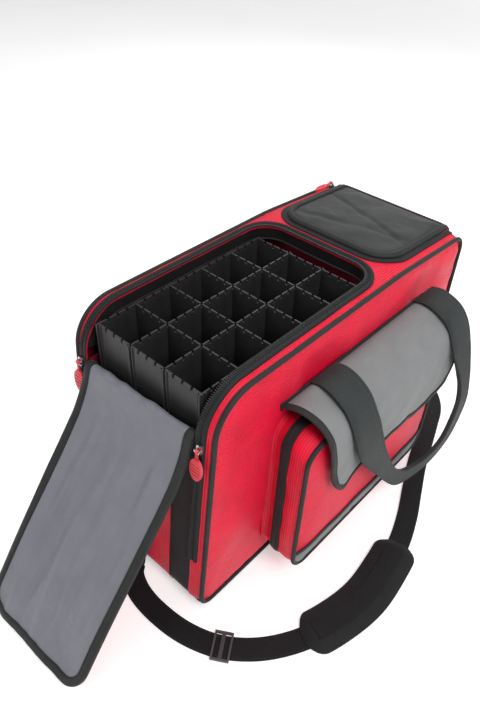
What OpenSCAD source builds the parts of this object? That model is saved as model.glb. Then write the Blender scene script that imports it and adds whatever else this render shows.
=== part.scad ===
// Soft tackle bag: a padded nylon bag with a slotted divider insert, a zipped
// main flap that folds out over one end, a lidded end compartment, a bellows
// pocket with its own flap, two webbing handles and a shoulder strap.
// Frame: floor at z = 0, +X along the bag towards the lidded compartment,
// the pocket on the -Y side, origin on the floor under the middle runner.

/* [Bag body] */
// Height of the top surface above the floor
top_z = 357; // [352:1:370]
// Height of the underside of the base above the floor
base_z = 6; // [5:1:10]
// X of the flap end at the top corner
near_top_x = -230; // [-234:1:-229]
// X of the flap end at the base
near_base_x = -252; // [-260:1:-250]
// X of the lidded end at the top corner
far_top_x = 280; // [276:1:290]
// X of the lidded end at the base
far_base_x = 292; // [284:1:300]
// Radius of the top corner over the flap end
near_r = 22; // [21:1:24]
// Radius of the other outline corners
edge_r = 14; // [8:1:18]
// Half the distance between the two piped side panels
half_w = 112; // [111:1:115]
// Thickness of the padded shell
shell_t = 4; // [3:0.5:5]

/* [Main opening] */
// Half width of the main opening
open_half_w = 93; // [92:0.5:94]
// X of the far edge of the main opening
open_far_x = 83; // [80:1:84]
// Radius of the opening's two far corners
open_r = 36; // [34:1:38]
// Width of the zip tape beside the opening
zip_w = 13; // [10:0.5:14]
// Height of the lower end of the main zip
zip_low_z = 150; // [120:5:200]

/* [Main flap] */
// Height of the fold line of the flap
fold_z = 300; // [298:1:301]
// Half width of the flap
flap_half_w = 90; // [86:0.5:90]
// Thickness of the flap panels
flap_t = 4; // [3:0.5:4]
// Length of the flat top panel of the flap
flap_top_l = 286; // [260:1:288]
// Lean of the four flap panels from vertical when the flap hangs open
flap_leans = [24, 27, 30, 36];

/* [Divider insert] */
// Pitch of the square cells
cell = 55; // [54:0.5:55]
// Cells along the bag
cells_x = 5; // [3:1:5]
// Cells across the bag
cells_y = 3; // [3:1:3]
// X of the middle of the insert
insert_x = -80; // [-81:0.5:-79]
// Top edge of the dividers
insert_top_z = 345; // [300:1:345]
// Bottom edge of the dividers
insert_low_z = 17; // [17:1:40]
// Sheet thickness of the dividers
sheet_t = 2; // [1.5:0.1:2.2]
// Depth of the notches along the top edges
notch_d = 5; // [3:0.5:8]

/* [Lidded compartment] */
// X of the near edge of the lid panel
lid_near_x = 112; // [111:1:118]
// X of the far edge of the lid panel
lid_far_x = 272; // [262:1:272]
// Half width of the lid panel
lid_half_w = 88; // [84:0.5:89]
// Radius of the lid's near corners
lid_r = 34; // [20:1:40]

/* [Pocket] */
// X of the pocket's near side
pocket_x0 = -145; // [-155:1:-140]
// X of the pocket's far side
pocket_x1 = 165; // [150:1:168]
// Height of the pocket's bottom edge
pocket_low_z = 40; // [30:1:60]
// Height of the pocket's open top
pocket_top_z = 278; // [260:1:279]
// Depth of the pocket outward from the bag
pocket_depth = 60; // [50:1:61]
// Radius of the pocket's bottom corners
pocket_r = 28; // [10:1:40]
// X of the near end of the pocket flap
pflap_x0 = -133; // [-140:1:-125]
// X of the far end of the pocket flap
pflap_x1 = 177; // [160:1:180]
// Height of the pocket flap's lower edge
pflap_low_z = 165; // [140:1:200]

/* [Webbing] */
// Width of the handle webbing
handle_w = 50; // [38:1:50]
// Thickness of the handle webbing
handle_t = 2.5; // [2:0.1:3]
// X of the middle of the handle leg at the flap end
handle_x0 = -55; // [-60:1:-50]
// X of the middle of the handle leg at the lidded end
handle_x1 = 173; // [165:1:180]
// Width of the shoulder strap
strap_w = 30; // [25:1:38]
// Thickness of the shoulder strap
strap_t = 2.2; // [1.8:0.1:2.6]

/* [Hidden] */

$fn = 48;
RED = [0.83, 0.08, 0.17];
DEEP_RED = [0.45, 0.04, 0.08];
GREY = [0.52, 0.53, 0.54];
DARK = [0.26, 0.28, 0.28];
BLACK = [0.10, 0.10, 0.11];
SATIN = [0.45, 0.46, 0.50];
SILVER = [0.78, 0.78, 0.80];

gap = 0.2;                       // seam gap between sewn pieces
piping_r = 3;
panel_in_y = half_w - 2;         // inner face of the side panels
panel_out_y = half_w + 6;        // outer face of the side panels
band_y = half_w - 3 - gap;       // edge of the top, end and base panels
tape_t = 1.5;
tape_z = top_z + 0.1;
body_low_z = base_z + 6 + gap;   // top of the base panel
lining_y = open_half_w + 3.5;
lining_t = 1.5;
partition_x = 98.5;
partition_t = 6;
board_z = 16;

// ---- shared geometry ----
function unit(v) = v / norm(v);
function wrap(a) = a > 180 ? a - 360 : a < -180 ? a + 360 : a;

// Arc that rounds corner b between a and c with radius r.
function corner(a, b, c, r, n) =
    let (
        u = unit(a - b),
        v = unit(c - b),
        half = acos(u * v) / 2,
        o = b + unit(u + v) * r / sin(half),
        s = b + u * r / tan(half) - o,
        e = b + v * r / tan(half) - o,
        a0 = atan2(s.y, s.x),
        turn = wrap(atan2(e.y, e.x) - a0)
    )
    [for (i = [0 : n]) o + r * [cos(a0 + turn * i / n), sin(a0 + turn * i / n)]];

function rounded(pts, radii, n = 8) =
    [for (i = [0 : len(pts) - 1])
        each corner(pts[(i + len(pts) - 1) % len(pts)], pts[i],
                    pts[(i + 1) % len(pts)], radii[i], n)];

// Side outline of the bag in X and Z, moved inward by d.
function outline(d) = rounded(
    [[near_base_x + d, base_z + d], [far_base_x - d, base_z + d],
     [far_top_x - d, top_z - d], [near_top_x + d, top_z - d]],
    [edge_r - d, edge_r - d, edge_r - d, near_r - d], 12);

// Front outline of the pocket in X and Z, moved inward by d, up to height top.
function pocket_outline(d, top) = rounded(
    [[pocket_x0 + d, pocket_low_z + d], [pocket_x1 - d, pocket_low_z + d],
     [pocket_x1 - d, top], [pocket_x0 + d, top]],
    [pocket_r - d, pocket_r - d, 0.5, 0.5]);

// X of the outer face of the flap end at height z.
function near_x(z) =
    near_base_x + (near_top_x - near_base_x) * (z - base_z) / (top_z - base_z);
// X of the outer face of the lidded end at height z.
function far_x(z) =
    far_base_x + (far_top_x - far_base_x) * (z - base_z) / (top_z - base_z);

// A shape drawn in X and Z, extruded from y0 to y1.
module xz(y0, y1) {
    translate([0, y1, 0]) rotate([90, 0, 0]) linear_extrude(y1 - y0) children();
}
// A shape drawn in Y and Z, extruded from x0 to x1.
module yz(x0, x1) {
    translate([x0, 0, 0]) rotate([90, 0, 90]) linear_extrude(x1 - x0) children();
}
module box(lo, hi) {
    translate(lo) cube(hi - lo);
}
// Wall of the bag's side outline between two insets, across the full width.
module shell_wall(d0, d1, half) {
    xz(-half, half) difference() {
        polygon(outline(d0));
        polygon(outline(d1));
    }
}

// ---- bag body ----
module base_panel() {
    color(BLACK) intersection() {
        xz(-band_y, band_y) polygon(outline(0));
        box([-300, -200, 0], [300, 200, base_z + 6]);
    }
}
module base_board() {
    color(BLACK)
        box([near_x(board_z) + 8, -lining_y + 0.5, body_low_z],
            [partition_x - 3, lining_y - 0.5, board_z]);
}
module base_feet() {
    foot_w = 22;
    foot_l = 176;
    color(BLACK)
        for (x = [-215, 0, 215]) translate([x, 0, 0]) linear_extrude(base_z)
            polygon(rounded(
                [[-foot_w / 2, -foot_l / 2], [foot_w / 2, -foot_l / 2],
                 [foot_w / 2, foot_l / 2], [-foot_w / 2, foot_l / 2]],
                [9, 9, 9, 9]));
}
module side_panel(y0, y1) {
    color(RED) xz(y0, y1) polygon(outline(piping_r + gap));
}
module front_panel() { side_panel(-panel_out_y, -panel_in_y); }
module back_panel() { side_panel(panel_in_y, panel_out_y); }
module piping(y) {
    color(DARK) xz(y - piping_r, y + piping_r) difference() {
        polygon(outline(-piping_r));
        polygon(outline(piping_r));
    }
}
module front_piping() { piping(-half_w); }
module back_piping() { piping(half_w); }
module near_end_panel() {
    color(RED) intersection() {
        shell_wall(0, shell_t, open_half_w - gap);
        box([-300, -200, body_low_z], [-200, 200, fold_z - 8]);
    }
}
module far_end_panel() {
    color(RED) intersection() {
        shell_wall(0, shell_t, band_y);
        box([far_top_x - edge_r - 2, -200, body_low_z], [300, 200, 400]);
    }
}
// Plan outline of the main opening, grown outward by d.
function opening_plan(d) = rounded(
    [[-320, -open_half_w - d], [open_far_x + d, -open_half_w - d],
     [open_far_x + d, open_half_w + d], [-320, open_half_w + d]],
    [0.5, open_r + d, open_r + d, 0.5]);
// Plan outline of the lidded compartment's opening, grown outward by d.
function lid_plan(d) = rounded(
    [[lid_near_x - d, -lid_half_w - d], [lid_far_x, -lid_half_w - d],
     [lid_far_x, lid_half_w + d], [lid_near_x - d, lid_half_w + d]],
    [lid_r + d, 3, 3, lid_r + d]);
module top_panel() {
    color(RED) difference() {
        intersection() {
            shell_wall(0, shell_t, band_y);
            box([-300, -200, body_low_z], [far_top_x - edge_r - 2 - gap, 200, 400]);
        }
        translate([0, 0, -1]) linear_extrude(500) polygon(opening_plan(0));
        translate([0, 0, top_z - 20]) linear_extrude(40) intersection() {
            polygon(lid_plan(-3));
            translate([0, -100]) square([far_top_x - edge_r - 6, 200]);
        }
    }
}
// Zip tape beside the opening: over the end, round the corner and across the top.
module main_zip_tape() {
    turn_x = 20;
    color(DARK) {
        for (side = [0, 1]) mirror([0, side, 0]) intersection() {
            xz(open_half_w, open_half_w + zip_w) difference() {
                polygon(outline(-tape_t - 0.1));
                polygon(outline(-0.1));
            }
            box([-300, 0, zip_low_z], [turn_x, 200, 400]);
        }
        translate([0, 0, tape_z]) linear_extrude(tape_t) difference() {
            polygon(opening_plan(zip_w));
            polygon(opening_plan(0));
            translate([-400, -200]) square([400 + turn_x, 400]);
        }
    }
}
module far_zip_tape() {
    color(DARK) translate([0, 0, tape_z]) linear_extrude(tape_t) difference() {
        polygon(lid_plan(14));
        polygon(lid_plan(-2));
        translate([far_top_x - edge_r - 4, -200]) square([100, 400]);
    }
}
module main_lining() {
    low = board_z + gap;
    color(DEEP_RED) {
        for (side = [0, 1]) mirror([0, side, 0]) intersection() {
            box([-300, lining_y, low],
                [partition_x - gap, lining_y + lining_t, top_z - shell_t - 2]);
            xz(0, 200) polygon(outline(shell_t + 0.5));
        }
        intersection() {
            shell_wall(shell_t + 1, shell_t + 1 + lining_t, lining_y - gap);
            box([-300, -200, low], [-200, 200, fold_z - 8]);
        }
        box([partition_x - gap - lining_t, -lining_y + gap, low],
            [partition_x - gap, lining_y - gap, top_z - shell_t - 2]);
    }
}
module partition() {
    color(BLACK)
        box([partition_x, -panel_in_y + 2, body_low_z],
            [partition_x + partition_t, panel_in_y - 2, top_z - shell_t - 1]);
}
module far_lining() {
    x0 = partition_x + partition_t + 1;
    x1 = far_top_x - shell_t - 6;
    high = top_z - shell_t - 2;
    color(DEEP_RED) difference() {
        box([x0, -lining_y, body_low_z], [x1, lining_y, high]);
        box([x0 + lining_t, -lining_y + lining_t, body_low_z + lining_t],
            [x1 - lining_t, lining_y - lining_t, high + 10]);
    }
}

// ---- main flap ----
// Centre of the top corner over the flap end.
end_slope = atan2(near_top_x - near_base_x, top_z - base_z);
corner_c = [near_top_x + near_r * tan((90 - end_slope) / 2), top_z - near_r];
fold_p = [near_x(fold_z), fold_z];
// Points of the closed flap round the corner, from the fold up.
closed_p = [fold_p, for (a = [150, 120, 90])
    corner_c + near_r * [cos(a), sin(a)]];
flap_l = [for (i = [0 : 2]) norm(closed_p[i + 1] - closed_p[i]), flap_top_l];
function hang(i) = [-sin(flap_leans[i]), -cos(flap_leans[i])];
// Hinge points of the open flap, from the fold down.
function flap_p(i) = i == 0 ? fold_p : flap_p(i - 1) + flap_l[i - 1] * hang(i - 1);

module flap_part(i) {
    end_gap = 1.2;
    p = flap_p(i);
    tip_r = i == 3 ? open_r - 2 : 0.3;
    far = flap_l[i] - end_gap;
    translate([p.x, 0, p.y]) rotate([0, flap_leans[i] - 270, 0])
        translate([0, 0, -flap_t / 2]) linear_extrude(flap_t) polygon(rounded(
            [[end_gap, -flap_half_w], [far, -flap_half_w],
             [far, flap_half_w], [end_gap, flap_half_w]],
            [0.3, tip_r, tip_r, 0.3]));
}
module flap_fold_panel() { color(RED) flap_part(0); }
module flap_corner_panel_1() { color(RED) flap_part(1); }
module flap_corner_panel_2() { color(RED) flap_part(2); }
module flap_top_panel() { color(SATIN) flap_part(3); }

// ---- lidded compartment ----
lid_z = tape_z + tape_t + 0.4;
binding_w = 6;
module far_lid() {
    color(DARK) translate([0, 0, lid_z]) linear_extrude(4) polygon(lid_plan(0));
}
module far_lid_binding() {
    color(BLACK) translate([0, 0, lid_z]) linear_extrude(5) difference() {
        polygon(lid_plan(binding_w));
        polygon(lid_plan(gap));
        translate([lid_far_x - 1, -200]) square([100, 400]);
    }
}

// ---- divider insert ----
insert_x0 = insert_x - cells_x * cell / 2;
insert_y0 = -cells_y * cell / 2;
insert_mid_z = (insert_low_z + insert_top_z) / 2;
tab_x = 4;                       // overhang of the long sheets past the end sheets
tab_y = 2;                       // overhang of the cross sheets past the side sheets
notch_w = 3.5;
notch_pitch = cell / 4;
rib_w = 1.5;

// Notches along the top edge of a sheet that runs along X from x0.
module notches(count) {
    for (i = [1 : count - 1])
        box([i * notch_pitch - notch_w / 2, -sheet_t, insert_top_z - notch_d],
            [i * notch_pitch + notch_w / 2, sheet_t, insert_top_z + 1]);
}
// Crossing slots of a sheet at every cell line, between two heights.
module slots(count, z0, z1) {
    for (i = [0 : count])
        box([i * cell - sheet_t / 2 - 0.15, -sheet_t, z0],
            [i * cell + sheet_t / 2 + 0.15, sheet_t, z1]);
}
// Pairs of upright ribs beside every cell line, on the +Y face.
module ribs(count) {
    for (i = [0 : count], side = [-1, 1])
        if ((i > 0 || side > 0) && (i < count || side < 0))
            box([i * cell + side * 4 - rib_w / 2, sheet_t / 2, insert_low_z],
                [i * cell + side * 4 + rib_w / 2, sheet_t / 2 + rib_w, insert_top_z]);
}
// A sheet along X, its first cell line at x = 0, slotted between two heights.
module sheet(count, overhang, z0, z1) {
    difference() {
        box([-overhang, -sheet_t / 2, insert_low_z],
            [count * cell + overhang, sheet_t / 2, insert_top_z]);
        notches(count * 4);
        slots(count, z0, z1);
    }
}
module long_divider(i) {
    color(BLACK) translate([insert_x0, insert_y0 + i * cell, 0]) {
        sheet(cells_x, tab_x, insert_mid_z, insert_top_z + 1);
        if (i == cells_y) ribs(cells_x);
        if (i == 0) mirror([0, 1, 0]) ribs(cells_x);
    }
}
module cross_divider(i) {
    color(BLACK) translate([insert_x0 + i * cell, insert_y0, 0])
        rotate([0, 0, 90]) {
            sheet(cells_y, tab_y, insert_low_z - 1, insert_mid_z);
            if (i == 0) ribs(cells_y);
            if (i == cells_x) mirror([0, 1, 0]) ribs(cells_y);
        }
}

// ---- pocket ----
pocket_y = -panel_out_y - gap;                   // where the gusset meets the bag
pocket_front_y = pocket_y - pocket_depth + 4;    // where the gusset meets the front
pocket_zip_y = -144;
module pocket_gusset() {
    color(RED) xz(pocket_front_y, pocket_y) difference() {
        polygon(pocket_outline(0, pocket_top_z));
        polygon(pocket_outline(3, pocket_top_z + 5));
    }
}
module pocket_front() {
    color(RED) xz(pocket_front_y - 4, pocket_front_y - gap)
        polygon(pocket_outline(0.3, pocket_top_z - 4));
}
module pocket_zip_tape() {
    color(BLACK) xz(pocket_zip_y - 6, pocket_zip_y + 6) difference() {
        polygon(pocket_outline(-tape_t, pocket_top_z - 1));
        polygon(pocket_outline(-0.1, pocket_top_z + 5));
    }
}
module pocket_piping() {
    color(DARK) xz(pocket_front_y - 4.5, pocket_front_y + 1.5) difference() {
        polygon(pocket_outline(-2.5, pocket_top_z - 1));
        polygon(pocket_outline(-0.1, pocket_top_z + 5));
    }
}
module pocket_trim_band() {
    band_h = 32;
    color(GREY) xz(pocket_front_y - 5.6, pocket_front_y - 4.1) intersection() {
        polygon(pocket_outline(0.5, pocket_top_z));
        translate([-300, 0]) square([600, pocket_low_z + band_h]);
    }
}

// ---- pocket flap ----
seam_y = -121;
seam_z = 292.5;
pflap_t = 3;
pflap_front_y = -188;
// Cross-section of the flap in Y and Z between two heights, grown by d.
module pflap_section(low, d) {
    polygon(rounded(
        [[seam_y, seam_z + d], [pflap_front_y + 1 - d, seam_z - 5.5 + d],
         [pflap_front_y - 1 - d, low], [pflap_front_y - 1 + pflap_t + d, low],
         [pflap_front_y + 1 + pflap_t + d, seam_z - 5.5 - pflap_t - d],
         [seam_y, seam_z - pflap_t - d]],
        [0.3, 16, 0.3, 0.3, 13, 0.3]));
}
pflap_edge = 8;
module pocket_flap() {
    color(GREY) yz(pflap_x0 + pflap_edge, pflap_x1 - pflap_edge)
        pflap_section(pflap_low_z + pflap_edge, 0);
}
module pocket_flap_binding() {
    color(DARK) {
        for (x = [pflap_x0, pflap_x1 - pflap_edge + gap])
            yz(x, x + pflap_edge - gap) pflap_section(pflap_low_z, 0.5);
        box([pflap_x0 + pflap_edge, pflap_front_y - 1.5, pflap_low_z],
            [pflap_x1 - pflap_edge, pflap_front_y + pflap_t - 0.5,
             pflap_low_z + pflap_edge - gap]);
    }
}

// ---- handles ----
leg_y0 = -124;
leg_y1 = -189.5;
leg_z0 = 295.5;
leg_drop = 5.5;
loop_y = -193.5;
loop_top_z = 285;
loop_low_z = 62;
// A leg of webbing lying outward over the pocket flap.
module handle_leg(x) {
    yz(x - handle_w / 2, x + handle_w / 2) polygon([
        [leg_y0, leg_z0 - handle_t / 2], [leg_y0, leg_z0 + handle_t / 2],
        [leg_y1, leg_z0 + handle_t / 2 - leg_drop],
        [leg_y1, leg_z0 - handle_t / 2 - leg_drop]]);
}
module front_handle_legs() {
    color(DARK) {
        handle_leg(handle_x0);
        handle_leg(handle_x1);
    }
}
// Flat loop of webbing in its own plane: two legs that run in to a narrow grip.
// The first coordinate is along the bag, the second the distance from the root.
module handle_loop(length, root) {
    half = handle_w / 2;
    grip = handle_w / 4;
    inset = 55;
    grip_far = length;
    difference() {
        polygon(rounded(
            [[handle_x0 - half, root], [handle_x0 - half + inset, grip_far],
             [handle_x1 + half - inset, grip_far], [handle_x1 + half, root]],
            [0.3, 40, 40, 0.3]));
        polygon(rounded(
            [[handle_x0 + half, root - 5], [handle_x0 + half + inset / 2, grip_far - 2 * grip],
             [handle_x1 - half - inset / 2, grip_far - 2 * grip], [handle_x1 - half, root - 5]],
            [0.3, 18, 18, 0.3]));
    }
}
module front_handle_loop() {
    color(DARK) translate([0, loop_y - handle_t / 2, loop_top_z])
        mirror([0, 0, 1]) xz(0, handle_t)
            handle_loop(loop_top_z - loop_low_z, 0);
}
back_handle_y = 122.5;
back_handle_z = 291;
back_handle_tilt = 14.8;
back_handle_l = 297;
module back_handle() {
    color(DARK) translate([0, back_handle_y, back_handle_z])
        rotate([back_handle_tilt, 0, 0])
            mirror([0, 0, 1]) xz(-handle_t / 2, handle_t / 2)
                handle_loop(back_handle_l, 4);
}
// Stitched ends of the handle webbing, running down the back panel to the base.
module back_handle_patches() {
    color(DARK)
        for (x = [handle_x0, handle_x1])
            box([x - handle_w / 2, panel_out_y + 0.1, base_z + 10],
                [x + handle_w / 2, panel_out_y + 1.6, back_handle_z - 8]);
}

// ---- zip sliders and pullers ----
crown_z = 5.5;                   // height of the puller bar above the tape
bar_r = 0.9;
eye_r = 1.4;
// A slider on a tape in the local XY plane: +X is its opening travel, +Z is outward.
module slider() {
    color(SILVER) {
        translate([0, 0, 0.2]) linear_extrude(2.6) polygon(rounded(
            [[-6, -4], [3, -4], [6.5, -2], [6.5, 2], [3, 4], [-6, 4]],
            [2, 2, 0.8, 0.8, 2, 2], 4));
        for (side = [0, 1]) mirror([0, side, 0])
            box([-1.5, 2.6, 2.6], [1.5, 3.8, 6.6]);
        translate([0, 0, crown_z]) rotate([90, 0, 0])
            cylinder(r = bar_r, h = 5.6, center = true);
    }
}
// A puller on the slider's bar, lying along +X: an eye, a link and an oval tab.
module puller(tab_l = 32, tab_w = 18) {
    tab_t = 3;
    tab_x0 = 11;
    color(RED) translate([0, 0, crown_z]) {
        rotate([90, 0, 0]) difference() {
            cylinder(r = 2.3, h = 3.6, center = true);
            cylinder(r = eye_r, h = 5, center = true);
        }
        box([1.9, -1.8, -0.8], [tab_x0 + 1, 1.8, 0.8]);
        translate([tab_x0 + tab_l / 2, 0, -tab_t / 2]) linear_extrude(tab_t)
            polygon([for (a = [0 : 10 : 350])
                [tab_l / 2 * cos(a), tab_w / 2 * sin(a)]]);
        for (i = [-2 : 2]) {
            x = tab_x0 + tab_l / 2 + i * tab_l / 7;
            half = tab_w / 3 - abs(i) * tab_w / 18;
            box([x - 0.9, -half, -tab_t / 2 - 0.6], [x + 0.9, half, tab_t / 2 + 0.6]);
        }
    }
}
main_slider_z = 290;
main_slider_y = 99.7;
// Places a child on the flap end's zip tape, its travel pointing down the bag.
module on_near_end(y) {
    translate([near_x(main_slider_z) - tape_t - 0.2, y, main_slider_z])
        rotate([0, end_slope, 0]) rotate([0, 90, 0]) mirror([0, 0, 1]) children();
}
module main_slider_front() { on_near_end(-main_slider_y) slider(); }
module main_slider_back() { on_near_end(main_slider_y) slider(); }
module main_puller_front() { on_near_end(-main_slider_y) puller(); }
module main_puller_back() { on_near_end(main_slider_y) puller(); }
module on_lid_tape() {
    translate([246, lid_half_w + 10.5, tape_z + tape_t]) mirror([1, 0, 0]) children();
}
module lid_slider() { on_lid_tape() slider(); }
module lid_puller() { on_lid_tape() puller(28, 9); }
pocket_slider_z = 255;
module on_pocket_tape() {
    translate([pocket_x1 + tape_t + 0.1, pocket_zip_y, pocket_slider_z])
        rotate([0, 90, 0]) children();
}
module pocket_slider() { on_pocket_tape() slider(); }
module pocket_puller() { on_pocket_tape() puller(); }

// ---- shoulder strap hardware ----
ring_r = 15;
wire_r = 2;
ring_out = 10.5;                 // distance of the ring's plane from the end panel
far_ring_z = 299;
near_ring_z = 125;
far_ring_x = far_x(far_ring_z) + ring_out;
near_ring_x = near_x(near_ring_z) - ring_out;
// A webbing tab round the ring's bar, reaching back to the panel on the -X side.
module ring_tab() {
    color(DARK) {
        rotate([90, 0, 0]) difference() {
            cylinder(r = 3.6, h = 24, center = true);
            cylinder(r = wire_r + 0.08, h = 30, center = true);
        }
        translate([-ring_out + 0.5, -12, 3.3]) cube([ring_out + 1, 24, 1.6]);
        translate([-ring_out + 0.5, -12, 3.3]) cube([1.6, 24, 26]);
    }
}
// A D ring: a straight bar along Y with a half circle hanging from it.
module d_ring() {
    color(SILVER) {
        rotate([90, 0, 0]) cylinder(r = wire_r, h = 2 * ring_r, center = true);
        rotate([0, 90, 0]) rotate([0, 0, -90]) rotate_extrude(angle = 180)
            translate([ring_r, 0]) circle(r = wire_r, $fn = 24);
    }
}
// A snap hook hung on the ring's lowest wire, with a slot for the strap.
module snap_hook() {
    loop_r = 6.5;
    eye_z = -49;
    color(SILVER) {
        translate([0, 0, -ring_r]) rotate([90, 0, 0]) rotate_extrude()
            translate([loop_r, 0]) circle(r = wire_r, $fn = 24);
        translate([0, 0, -ring_r - loop_r - 18]) cylinder(r = 3, h = 18);
        translate([0, 0, -ring_r - loop_r - 22]) cylinder(r = 4.5, h = 5);
        difference() {
            box([-2, -strap_w / 2 - 4, eye_z - 5], [2, strap_w / 2 + 4, eye_z + 7]);
            box([-3, -strap_w / 2 - 1, eye_z - 2.5], [3, strap_w / 2 + 1, eye_z + 2.5]);
        }
    }
}
module far_ring_tab() { translate([far_ring_x, 0, far_ring_z]) ring_tab(); }
module far_ring() { translate([far_ring_x, 0, far_ring_z]) d_ring(); }
module far_hook() { translate([far_ring_x, 0, far_ring_z]) snap_hook(); }
module near_ring_tab() {
    translate([near_ring_x, 0, near_ring_z]) mirror([1, 0, 0]) ring_tab();
}
module near_ring() { translate([near_ring_x, 0, near_ring_z]) d_ring(); }
module near_hook() { translate([near_ring_x, 0, near_ring_z]) snap_hook(); }

// ---- shoulder strap ----
// The hanging end of the strap, from z = high down to z = low, where it stands
// out by the distance lean.
module strap_end(x, high, low, lean) {
    color(BLACK) xz(-strap_w / 2, strap_w / 2) polygon([
        [x - strap_t / 2, high], [x + strap_t / 2, high],
        [x + lean + strap_t / 2, low], [x + lean - strap_t / 2, low]]);
}
hook_low = -54.2;                // underside of the hook, from the ring's bar
module strap_far_end() { strap_end(far_ring_x, far_ring_z + hook_low, 5, 6); }
// Middle line of the strap where it lies on the floor round the pocket side.
strap_route = [
    [306, 0], [325, -6], [340, -24], [347, -50], [346, -80], [336, -107],
    [317, -129], [292, -145], [262, -156], [228, -168], [166, -189],
    [114, -211], [65, -232], [15, -248], [-40, -257], [-90, -260],
    [-140, -252], [-190, -235], [-235, -206], [-268, -168], [-286, -124],
    [-292, -80], [-290, -42], [-280, -14], [-264, 0]
];
function route_dir(i) = unit(
    strap_route[min(i + 1, len(strap_route) - 1)] - strap_route[max(i - 1, 0)]);
function route_side(i, w) =
    strap_route[i] + w * [-route_dir(i).y, route_dir(i).x];
// A ribbon of the route between two of its points, w to each side.
module ribbon(first, last, w) {
    polygon([for (i = [first : last]) route_side(i, w),
             for (i = [last : -1 : first]) route_side(i, -w)]);
}
strap_z = 0.3;
module shoulder_strap() {
    route_end = len(strap_route) - 1;
    color(BLACK) translate([0, 0, strap_z]) linear_extrude(strap_t)
        ribbon(0, route_end, strap_w / 2);
    strap_end(near_ring_x, near_ring_z + hook_low, strap_z + strap_t + 0.1, 0);
}
module shoulder_pad() {
    color(BLACK) translate([0, 0, strap_z + strap_t + 0.1]) linear_extrude(7)
        ribbon(13, 17, 30);
}
adjuster_at = 19;                // point of the route that the adjuster lies on
module strap_adjuster() {
    pos = strap_route[adjuster_at];
    heading = atan2(route_dir(adjuster_at).y, route_dir(adjuster_at).x);
    frame_l = 24;
    color(BLACK) translate([pos.x, pos.y, strap_z + strap_t + 0.1])
        rotate([0, 0, heading]) difference() {
            box([-frame_l / 2, -strap_w / 2 - 4, 0], [frame_l / 2, strap_w / 2 + 4, 3]);
            for (x = [-6, 6])
                box([x - 3.5, -strap_w / 2 - 1, -1], [x + 3.5, strap_w / 2 + 1, 4]);
        }
}

base_panel();
base_board();
base_feet();
front_panel();
back_panel();
front_piping();
back_piping();
near_end_panel();
far_end_panel();
top_panel();
main_zip_tape();
far_zip_tape();
main_lining();
far_lining();
partition();
flap_fold_panel();
flap_corner_panel_1();
flap_corner_panel_2();
flap_top_panel();
far_lid();
far_lid_binding();
long_divider(0);  // long_divider_1
long_divider(1);  // long_divider_2
long_divider(2);  // long_divider_3
long_divider(3);  // long_divider_4
cross_divider(0);  // cross_divider_1
cross_divider(1);  // cross_divider_2
cross_divider(2);  // cross_divider_3
cross_divider(3);  // cross_divider_4
cross_divider(4);  // cross_divider_5
cross_divider(5);  // cross_divider_6
pocket_gusset();
pocket_front();
pocket_zip_tape();
pocket_piping();
pocket_trim_band();
pocket_flap();
pocket_flap_binding();
front_handle_legs();
front_handle_loop();
back_handle();
back_handle_patches();
main_slider_front();
main_slider_back();
lid_slider();
pocket_slider();
main_puller_front();
main_puller_back();
lid_puller();
pocket_puller();
far_ring_tab();
far_ring();
far_hook();
strap_far_end();
near_ring_tab();
near_ring();
near_hook();
shoulder_strap();
shoulder_pad();
strap_adjuster();
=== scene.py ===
import math

import bmesh
import bpy
import numpy as np
from mathutils import Matrix, Vector, noise


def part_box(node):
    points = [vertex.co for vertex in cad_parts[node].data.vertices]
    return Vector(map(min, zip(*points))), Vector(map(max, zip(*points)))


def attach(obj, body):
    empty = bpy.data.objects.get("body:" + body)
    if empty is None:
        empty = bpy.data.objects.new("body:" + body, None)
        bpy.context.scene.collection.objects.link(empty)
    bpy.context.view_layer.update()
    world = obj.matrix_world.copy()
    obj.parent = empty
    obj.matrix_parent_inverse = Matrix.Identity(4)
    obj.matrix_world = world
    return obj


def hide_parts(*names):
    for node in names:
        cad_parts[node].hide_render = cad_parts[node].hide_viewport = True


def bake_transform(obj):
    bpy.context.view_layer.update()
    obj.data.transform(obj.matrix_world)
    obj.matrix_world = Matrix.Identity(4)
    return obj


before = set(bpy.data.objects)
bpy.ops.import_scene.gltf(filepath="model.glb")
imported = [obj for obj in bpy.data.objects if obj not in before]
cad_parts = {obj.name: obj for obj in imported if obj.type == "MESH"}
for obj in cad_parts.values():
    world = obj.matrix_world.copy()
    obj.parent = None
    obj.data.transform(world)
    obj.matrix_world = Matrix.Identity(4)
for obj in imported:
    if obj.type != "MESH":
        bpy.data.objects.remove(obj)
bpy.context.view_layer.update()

# Lengths are in millimetres until a mesh is made.
MM = 0.001


def node_box(name):
    lo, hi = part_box(name)
    return np.array(lo) / MM, np.array(hi) / MM


# ---- camera
def add_camera():
    place = Vector((-0.5542, -0.420, 0.800))
    az, el, roll = (math.radians(a) for a in (-49.4, 40.6, 2.8))
    back = Vector((math.sin(az) * math.cos(el), -math.cos(az) * math.cos(el),
                   math.sin(el)))
    level = Vector((math.cos(az), math.sin(az), 0))
    up = back.cross(level)
    right = math.cos(roll) * level + math.sin(roll) * up
    up = -math.sin(roll) * level + math.cos(roll) * up
    data = bpy.data.cameras.new("camera")
    data.sensor_width = 36
    data.lens = 32.5
    cam = bpy.data.objects.new("camera", data)
    cam.matrix_world = Matrix.Translation(place) @ Matrix(
        (right, up, back)).transposed().to_4x4()
    bpy.context.scene.collection.objects.link(cam)
    bpy.context.scene.camera = cam


add_camera()


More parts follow.
